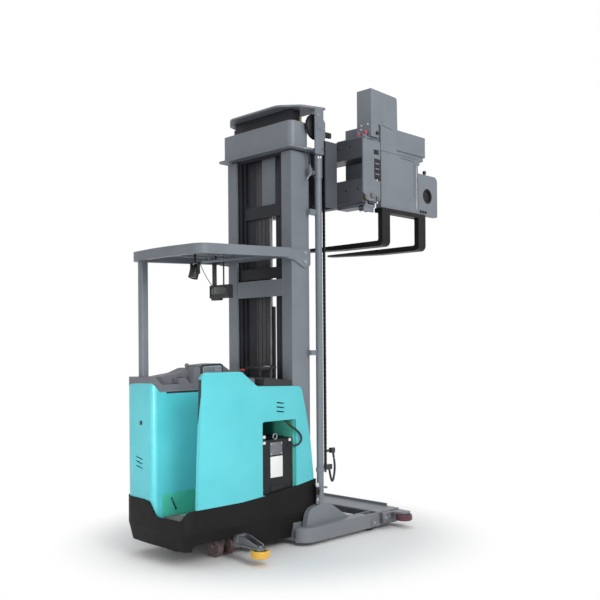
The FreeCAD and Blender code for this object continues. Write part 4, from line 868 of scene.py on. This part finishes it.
# %% Lamp, terminal and guard screws
pivot = mm(-992, -200, 2112)
beam_way = Matrix.Rotation(math.radians(19), 3, "Y") @ Vector(DOWN)
lens_foot = pivot + beam_way * 53
fit("work_light_lens", lens_glass, "chassis", [
    turned([(-2, 29), (1, 29), (5, 22), (7, 12), (7.5, 4)], lens_foot, beam_way, 36)])
fit("work_light_rim", lamp_plastic, "chassis", [
    turned([(4, 30.5), (10, 30.5), (11, 33), (10, 36.5),
            (3, 36.5), (2, 33)], lens_foot, beam_way, 36, ring=True)])
fit("work_light_fins", lamp_plastic, "chassis", [
    turned([(a, 33.5), (a + 3, 38.5), (a + 6, 33.5)], pivot, beam_way, 36)
    for a in (6, 18)])
box_low = box_mm("equipment_box")[0]
fit("terminal_screen", screen_glass, "chassis", [
    block((-515.5, box_low.y + 24, 1972), (-513, 172, 2026), 0.8)])
fit("terminal_keys", silver_print, "chassis", [
    block((-517.2, 182, z), (-513.5, 198, z + 10), 1)
    for z in (1974, 1989, 2004)])
fit("terminal_lead", cast_steel, "chassis", [
    bent_rod([(-958, -198, 2190), (-860, -110, 2140), (-700, 30, 2085),
              (-540, 175, 2052), (-505, 205, 2046), (-500, 208, 2036)], 3)])
chassis_bolts = both_sides([
    touch("guard_roof", (-45, -500, 2290), LEFT), touch("guard_roof", (-45, -500, 2219), LEFT)])
rail_rear, rail_front = mm(-990, -262, 2158), mm(-300, -262, 2262)
rail_way = (rail_front - rail_rear).normalized()
fit("guard_inner_rail", mast_grey, "chassis", [
    plate([(0, -8), ((rail_front - rail_rear).length, -8),
           ((rail_front - rail_rear).length, 12), (0, 12)], rail_rear, rail_way, UP, 18, 3)])
rungs = [(p + mm(0, -9, 28), UP) for p in row(rail_rear + mm(20, 0, 0), rail_front, 15)]
grow("guard_rail_rungs", rib_tree, rungs, {"Rib width": 10, "Rib length": 52},
     mast_grey, "chassis")

# %% [markdown]
# ## Hydraulics at the foot of the mast
# On the leg's foot stands a valve: a steel body, a ring, a black magnet coil and a
# white cap, all turned. A hose fitting looks out at its side. Each lift cylinder
# ends in a gland nut, with a pale wiper cone for its rod.

# %% Valve, glands and the lever on the cylinder
foot_top = box_mm("leg_right")[1].z
valve = mm(31, -436, foot_top)
fit("lowering_valve_body", cast_steel, "chassis", [
    turned([(-2, 14.5), (18, 14.5), (19, 11), (22, 11)], valve, UP),
    turned([(60, 10), (72, 10)], valve, UP), turned([(128, 9), (136, 9)], valve, UP),
    block(valve + mm(-11, -11, 48), valve + mm(11, 11, 62), 2)])
fit("lowering_valve_ring", zinc_plate, "chassis", [
    turned([(21, 12), (23, 15.5), (47, 15.5), (49, 12)], valve, UP),
    turned([(0, 7), (12, 7), (13, 10), (24, 10), (25, 6),
            (34, 6)], (96, -452, foot_top + 127), RIGHT, 16)])
fit("lowering_valve_coil", lamp_plastic, "chassis", [
    turned([(70, 12), (72, 15.5), (127, 15.5), (130, 12)], valve, UP),
    block(valve + mm(-8, -22, 84), valve + mm(8, -12, 112), 2)])
fit("lowering_valve_cap", white_nylon, "chassis", [
    turned([(135, 12), (137, 14.5), (160, 14.5), (166, 10)], valve, UP)])

gland_top = box_mm("lift_cylinder_right")[1].z
for name, turn in (("right", -1), ("left", 1)):
    seat = mm(77, turn * 426, gland_top)
    fit("rod_wiper_" + name, white_nylon, "chassis", [
        turned([(0, 30), (4, 30), (18, 22.5), (18, 18.8), (0, 18.8)], seat, UP, 28, ring=True)])
    fit("gland_nut_" + name, zinc_plate, "chassis", [
        turned([(-30, 34), (-28, 36.2), (-4, 36.2), (-2, 34)], seat, UP, 8)])
fit("shut_off_valve", cast_steel, "chassis", [
    block((-34, -444, 2900), (-4, -412, 2962), 3), block((-6, -437, 2914), (50, -419, 2944), 2),
    turned([(0, 11), (12, 11), (14, 8), (26, 8)], (-19, -428, 2961), UP, 6),
    turned([(0, 10), (10, 10), (12, 6)], (-19, -444, 2930), RIGHT, 16)])
fit("shut_off_lever", zinc_plate, "chassis", [
    bent_rod([(-19, -452, 2930), (-28, -454, 2922), (-52, -454, 2892),
              (-70, -454, 2868), (-80, -452, 2862)], 4)])
fit("shut_off_hose", cable_rubber, "chassis", [
    bent_rod([(-19, -428, 2985), (-19, -428, 3030), (-26, -424, 3065), (-36, -416, 3085)], 7)])

# %% [markdown]
# ## Leaf chain
# The mast is drawn out by a leaf chain on each side. It is all plates and pins, with
# no rollers: four outer plates join one pair of pins, three inner plates the next.
# The tree builds a pack of two pins and plants it down the chain and round its
# pulley, where each pack turns with the curve about the pin's own direction.

# %% Chain packs on the mast's chains
chain_tree, given = new_tree("leaf_chain", ["Pitch", "Plate width", "Plate thickness"])
along_pins = (math.pi / 2, 0, 0)              # lays a cylinder along the pins
pack = add_node(chain_tree, "GeometryNodeJoinGeometry")
disc = add_node(chain_tree, "GeometryNodeMeshCylinder", {
    "Vertices": 10, "Radius": halved(chain_tree, given["Plate width"]),
    "Depth": given["Plate thickness"]})
disc = add_node(chain_tree, "GeometryNodeTransform", {"Geometry": disc, "Rotation": along_pins})
pair = add_node(chain_tree, "GeometryNodeJoinGeometry", {"Geometry": disc})
feed(chain_tree, pair, {"Geometry": lifted(chain_tree, disc, given["Pitch"])})
link_plate = add_node(chain_tree, "GeometryNodeConvexHull", {"Geometry": pair})
next_plate = lifted(chain_tree, link_plate, given["Pitch"])
OUTER_PLATES, INNER_PLATES = (-0.0086, -0.0029, 0.0029, 0.0086), (-0.00575, 0, 0.00575)
for offset, shape in [(y, link_plate) for y in OUTER_PLATES] + [
        (y, next_plate) for y in INNER_PLATES]:
    moved = add_node(chain_tree, "GeometryNodeTransform", {
        "Geometry": shape, "Translation": (0, offset, 0)})
    feed(chain_tree, pack, {"Geometry": moved})
pin = add_node(chain_tree, "GeometryNodeMeshCylinder", {
    "Vertices": 8, "Radius": 0.0028, "Depth": 0.0225})
pin = add_node(chain_tree, "GeometryNodeTransform", {"Geometry": pin, "Rotation": along_pins})
feed(chain_tree, pack, {"Geometry": pin})
feed(chain_tree, pack, {"Geometry": lifted(chain_tree, pin, given["Pitch"])})
along_chain = add_node(chain_tree, "GeometryNodeInputNamedAttribute", {"Name": "facing"},
                       data_type="FLOAT_VECTOR")
turn = add_node(chain_tree, "FunctionNodeAlignRotationToVector", {"Vector": along_chain},
                axis="Z", pivot_axis="Y")
end_tree(chain_tree, given, given["Geometry"], pack, turn)

PITCH = 16                                    # from pin to pin
WRAP = 98                                     # from the pulley's middle to the chain's
for name, y in (("right", -440), ("left", 440)):
    packs = [(mm(125, y, 604 + 2 * PITCH * i), Vector(UP)) for i in range(84)]
    for i in range(10):
        angle = math.radians(18.9 * i + 4)
        slope = angle + 0.16                  # a pack spans two pins, so it leans ahead
        packs.append((mm(30 + WRAP * math.cos(angle), y, 3290 + WRAP * math.sin(angle)),
                      Vector((-math.sin(slope), 0, math.cos(slope)))))
    grow("leaf_chain_" + name, chain_tree, packs,
         {"Pitch": PITCH, "Plate width": 13.8, "Plate thickness": 2.6},
         oiled_chain, "mast_stage_3")

# %% [markdown]
# ## Shade sheets inside the mast
# The third stage carries thin flat sheets that paint the shade inside the mast and hide
# the lift cylinder's bright ram. A dark grey one paints the shaded cylinder, and a pale
# strip paints the highlight on its edge. They leave a narrow slot, through which one
# looks right through the mast. A few upright ribs stand on them.

# %% Shade sheets and the ram's head
tie_low, tie_high = box_mm("stage3_ties")
sheet_rear = tie_low.x + 15.5                 # just in front of the stage's ties
sheet_foot, sheet_top = tie_low.z + 150, tie_high.z - 155
# The sheets are flat; their ribs end at this height.
rib_top = 2600                                # where the sheets' folds end


def mast_sheet(name, finish, right, left, foot, top, proud=0):
    """A flat sheet on the third stage between two distances across the mast, and its foot and
    top.
    """
    fit(name, finish, "mast_stage_3", [
        block((sheet_rear - proud, right, foot), (sheet_rear + 2.8, left, top), 0.8)])


# Painted shade: dark sheets for the shaded channels and a dark grey one for the shaded lift
# cylinder. Painted highlight: a pale strip along the cylinder's edge.
mast_sheet("mast_shade_sheet_left", stage_grey, 98, 204.5, sheet_foot, sheet_top)
mast_sheet("mast_cylinder_shade_sheet", cylinder_shade_grey, -66, 96.5, sheet_foot, sheet_top)
mast_sheet("mast_highlight_strip", cast_steel, -84, -67, sheet_foot, rib_top)
mast_sheet("mast_shade_sheet_right", stage_grey, -204.5, -140, sheet_foot, sheet_top)
mast_sheet("ram_head_cover", mast_grey, -137, 20, 2640, sheet_top, 0.8)
ribs = [(mm(sheet_rear, y, (sheet_foot + rib_top) / 2), UP)
        for y in (118, 150, 183, 76, 30, -20, -160, -185)]
grow("mast_shade_sheet_ribs", rib_tree, ribs,
     {"Rib width": 6, "Rib length": rib_top - sheet_foot - 10}, stage_grey,
     "mast_stage_3")
head_low, head_high = box_mm("free_lift_ram")
fit("ram_crosshead", stage_grey, "free_lift", [
    block((head_low.x - 1, head_low.y - 1, head_high.z - 81),
          (head_high.x + 1, head_high.y + 1, head_high.z + 1), 3)])

# %% [markdown]
# ## The mast's head
# The top plate is bolted to the third stage. Each pulley bracket has a pin with a
# keeper plate and a grease nipple on its outer face.

# %% Pulley keepers, nipples and top-plate bolts
keepers, nipples, stage3_bolts = [], [], []
for turn in (-1, 1):
    outer = turn * 486                        # outer face of the pulley bracket
    out = Vector((0, turn, 0))
    keepers.append(side_block(turn, (12, 485, 3262), (48, 491, 3318), 1.5))
    nipples.append(turned([(0, 8), (4, 8), (5, 5), (10, 5.5),
                           (11.2, 3)], (84, outer, 3275), out, 12))
    stage3_bolts += [((8, outer, 3372), out), ((66, outer, 3120), out)]
fit("pulley_pin_keepers", mast_grey, "mast_stage_3", keepers)
fit("pulley_grease_nipples", zinc_plate, "mast_stage_3", nipples)
top_face = box_mm("stage3_top")[1].z
stage3_bolts += [((x, y, top_face), UP) for x in (-85, 45) for y in (-400, -270, 270, 400)]
grow("stage_3_bolts", screw_tree, stage3_bolts, M12, zinc_plate, "mast_stage_3")
band_top = box_mm("stage2_top")[1].z
fit("stage_2_hose_fittings", brass, "mast_stage_2", [
    turned([(-2, 10), (10, 10), (12, 6.5), (24, 6.5), (26, 9),
            (38, 9), (40, 5)], (-96, turn * 404, band_top), UP, 6)
    for turn in (-1, 1)])
rod_top = box_mm("lift_rods")[1].z
stage2_bolts = [((77, turn * 426, rod_top - 10), UP) for turn in (-1, 1)]
grow("stage_2_bolts", screw_tree, stage2_bolts, M16, zinc_plate, "mast_stage_2")

# %% [markdown]
# ## Welds and mast bolts
# The ties are welded between the uprights. A weld bead is a thin rod with a slightly
# wavy line, laid along the joint. The large screws of the chassis come here too.

# %% Weld beads and large chassis bolts
def bead(start, end, radius=4):
    """A weld bead: a rod whose line wanders by half a millimetre."""
    start, end = Vector(start), Vector(end)
    count = max(4, int((end - start).length / 30))
    line = []
    for i in range(count + 1):
        wobble = 0.6 * math.sin(i * 2.4)
        line.append(start.lerp(end, i / count) + Vector((wobble, wobble, wobble)))
    return bent_rod(line, radius)


edge = 269                                  # inner edges of the uprights' flanges
fit("mast_tie_welds", mast_grey, "chassis", [
    bead((-180.5, turn * edge, low_z), (-180.5, turn * edge, high_z), 3.5)
    for turn in (-1, 1) for low_z, high_z in ((1952, 2087), (60, 300))])
leg_side = 524                                # outer face of each leg
fit("wheel_axle_plates", mast_grey, "chassis", [
    side_block(turn, (590, leg_side, 40), (650, leg_side + 6, 96), 2) for turn in (-1, 1)])
chassis_bolts += both_sides([((620, -leg_side - 6, 68), RIGHT)])
bracket_web = [(422, 186), (470, 186), (610, 142), (622, 124), (422, 124)]
fit("roller_bracket_castings", cast_steel, "chassis", [
    part for turn, out, foot in ((-1, RIGHT, 10), (1, LEFT, 0)) for part in (
        side_block(turn, (-795, 372, 94), (-704, 426, 188), 5),
        plate(bracket_web, (-790 + foot, 0, 0), out, UP, 10, 2),
        plate(bracket_web, (-722 + foot, 0, 0), out, UP, 10, 2))])
chassis_screws += both_sides([((x, -426, z), RIGHT) for x in (-778, -751) for z in (112, 170)])
fit("front_roller_lugs", cast_steel, "chassis", [
    side_block(turn, (704, 522, 52), (830, 566, 140), 5) for turn in (-1, 1)])
chassis_bolts += both_sides([((x, -566, 96), RIGHT) for x in (740, 792)])
for node, x in (("roller_bracket_right", -762), ("front_beam", 905)):
    chassis_bolts += both_sides([touch(node, (x, -628, 400), DOWN)])
grow("chassis_bolts", screw_tree, chassis_bolts, M16, zinc_plate, "chassis")
grow("chassis_screws", screw_tree, chassis_screws, M8, zinc_plate, "chassis")

# %% [markdown]
# ## Traverse beams and carriage
# Each beam is bored on its rear face where it was jigged for machining. A bore is
# shown as a chamfered rim round a dark floor of painted shade. The end plates are held by
# bolts, and dark plates of painted shade fill their windows.

# %% Bores and bolts of the carriage
beam_rear = box_mm("traverse_beam_upper")[0].x
end_face = box_mm("end_plates")[0].y          # right face of the right end plate
bores = [(y, z) for z, reach in ((3141, (482, 617)), (2796, (566, 693)))
         for y in [turn * r for turn in (-1, 1) for r in reach]]
fit("beam_bore_rims", beam_charcoal, "carriage", [
    turned([(0, 13.5), (1.2, 12.5), (1.2, 10.5), (0, 9.5)],
           (beam_rear, y, z), REARWARD, 24, ring=True) for y, z in bores])
# A dark disc at the floor of each bore: painted shade.
fit("beam_bore_shade", slot_shadow, "carriage", [
    turned([(0, 10.2), (0.4, 9.8)], (beam_rear, y, z), REARWARD, 24) for y, z in bores])
# Dark plates in the end plates' windows: painted shade of the openings.
fit("end_plate_window_shade", slot_shadow, "carriage", [
    block((388, end_face - 1.5, 3084), (450, end_face + 1, 3122), 0.6),
    block((392, end_face - 1.5, 2886), (466.5, end_face + 1, 3050), 0.6)])
fit("end_plate_steps", mast_grey, "carriage", [
    block((404, end_face - 4, z), (452, end_face - 1, z + 11), 1.2)
    for z in (2922, 2964, 3006)])
fit("end_plate_rollers", polished_steel, "carriage", [
    turned([(-12, 19), (12, 19), (14, 21.5), (24, 21.5), (27, 19),
            (27, 10), (30, 9), (30, 4)], (x, end_face + 11, z), RIGHT, 28)
    for x, z in ((287, 2726), (362, 2750), (428, 2731))])
carriage_bolts = [touch("carriage_frame", (100, y, z), AHEAD)
                   for y in (-400, -230, 230, 400) for z in (2710, 3150)]
grow("carriage_bolts", screw_tree, carriage_bolts, M12, zinc_plate, "carriage")

# %% [markdown]
# ## The traverse head
# The head hangs on the upper beam by two rollers and runs on two more below the
# lower beam. Their pins are capped in red, so that nobody greases the wrong ones.
# White nylon fittings carry the wires into the tower.

# %% Caps, rollers and fittings of the head
rail = 3205                                  # underside of the hook over the upper beam
fit("roller_pin_caps", cap_red, "traverse_head", [
    turned([(24, 15.8), (30, 16.8), (50, 16), (55, 12), (56, 4)], (332, -642, rail), UP, 24),
    turned([(36, 16), (42, 17.5), (62, 16.5), (67, 12), (68, 4)], (338, -705, rail), UP, 24)])
fit("roller_pin_post", mast_grey, "traverse_head", [
    turned([(16, 13.5), (20, 13.5), (21, 10.5), (38, 10.5)], (338, -705, rail), UP, 20)])
tower_rear = box_mm("head_cover")[0].x
fit("tower_wire_fittings", white_nylon, "traverse_head", [
    turned([(-1, 7), (2, 7), (3, 4.5), (8, 4), (9, 2)], (tower_rear, y, z), REARWARD, 16)
    for y, z in ((-646, 3321), (-713, 3322), (-641, 3290))])
roller_z = 2651                               # centre line of the lower rollers
fit("lower_roller_sleeves", polished_steel, "traverse_head", [
    turned([(2, 12), (2, 22.8), (4, 24.6), (54, 24.6), (56, 22.8),
            (56, 12)], (x, -720, roller_z), LEFT, 32) for x in (316, 379)])
head_bolts = [((431, -724, z), RIGHT) for z in (2735, 2900, 3080)] + [
    ((430, -746, 3259), RIGHT)]
grow("head_bolts", screw_tree, head_bolts, M16, lamp_plastic, "traverse_head")
side_face = box_mm("head_cover")[0].y         # the head's right face
fit("cover_lower_edge", mast_grey, "traverse_head", [
    block((477, side_face + 0.2, 3127.5), (686.5, side_face + 34, 3168), 2)])
fit("head_cover_seam", seam_shadow, "traverse_head", [
    bent_rod([(495, side_face + 1, 3372), (495, side_face + 1, 3345),
              (497, side_face + 1, 3335), (507, side_face + 1, 3333),
              (624, side_face + 1, 3319)], 2.4)])

# %% [markdown]
# ## The turret
# The forks swing under the head on a plate with a round eye. A dark sleeve and disc inside
# the eye are painted shade, a black knob locks the guide rod, and three bolts sit on the
# plate's side.

# %% Eye shade, knob, seams and bolts of the turret
plate_eye = mm(1110, -746, 2836)
# A dark sleeve and a dark disc inside the eye: painted shade.
fit("fork_plate_eye_shade", slot_shadow, "turret", [
    turned([(0.5, 50), (0.5, 65.5), (34, 65.5), (34, 50)], plate_eye, LEFT, 48, ring=True),
    turned([(16, 51), (20, 51)], plate_eye, LEFT, 48)])
fit("guide_rod_knob", lamp_plastic, "turret", [
    turned([(-2, 10), (10, 10), (13, 15.5), (32, 15.5), (38, 11),
            (40, 4)], (1092, -728, 3016), UP, 24)])
fit("swing_frame_seams", seam_shadow, "turret", [
    bent_rod([(729, -745, 3107), (830, -745, 3105.5), (912, -745, 3104),
              (920, -745, 3098), (920, -745, 3000), (919, -745, 2807)], 2.4)])
fit("swing_pin_cap", cast_steel, "turret", [
    turned([(-2, 40), (6, 40), (10, 34), (10, 12)], (868, -640, 3225), DOWN, 36)])
turret_bolts = [((x, -746, 2694), RIGHT) for x in (1010, 1045, 1080)]
grow("turret_bolts", screw_tree, turret_bolts, M12, lamp_plastic, "turret")

# %% [markdown]
# ## Wheels
# A wheel's hub shows bare metal, an axle nut and a ring of bolts. They ride on the
# wheel where they turn with it, and on the fork where they hold the axle still.

# %% Hubs and nuts
def bolt_circle(middle, radius, count):
    """Places evenly round a wheel's hub, as seen from its side."""
    angles = [math.tau * i / count for i in range(count)]
    return [mm(*middle) + radius * Vector((math.cos(a), 0, math.sin(a))) for a in angles]


fit("caster_axle_nuts", zinc_plate, "caster", [
    turned([(-2, 16), (1, 16.5), (2.5, 16.5), (3.5, 12)],
           (x, -208, 76), out, 6) for x, out in ((-857, REARWARD), (-685, AHEAD))])
for turn, name in ((-1, "right"), (1, "left")):
    for place, x, top in (("rear", -762, 108), ("front", 905, 114)):
        fit(f"roller_hub_{place}_{name}", cast_steel, f"guide_roller_{place}_{name}",
            [
                turned([(-5.5, 24.5), (-5.5, 44), (-4, 45.5), (-4, 24.5)],
                       (x, turn * 628, top), UP, 36, ring=True)])
        fit(f"roller_pin_nut_{place}_{name}", zinc_plate, "chassis", [
            turned([(0, 14), (1, 15), (8, 15), (9, 12)], (x, turn * 628, top - 52), DOWN, 6)])
    load_nuts = [(p, (0, turn, 0)) for p in bolt_circle((620, turn * 496, 68), 35, 6)]
    grow("load_wheel_screws_" + name, screw_tree, load_nuts,
         SMALL, zinc_plate, "load_wheel_" + name)
drive_nuts = [(p, RIGHT) for p in bolt_circle((-900, 119, 160), 85, 8)]
grow("drive_wheel_nuts", screw_tree, drive_nuts, M12, zinc_plate, "drive_wheel")
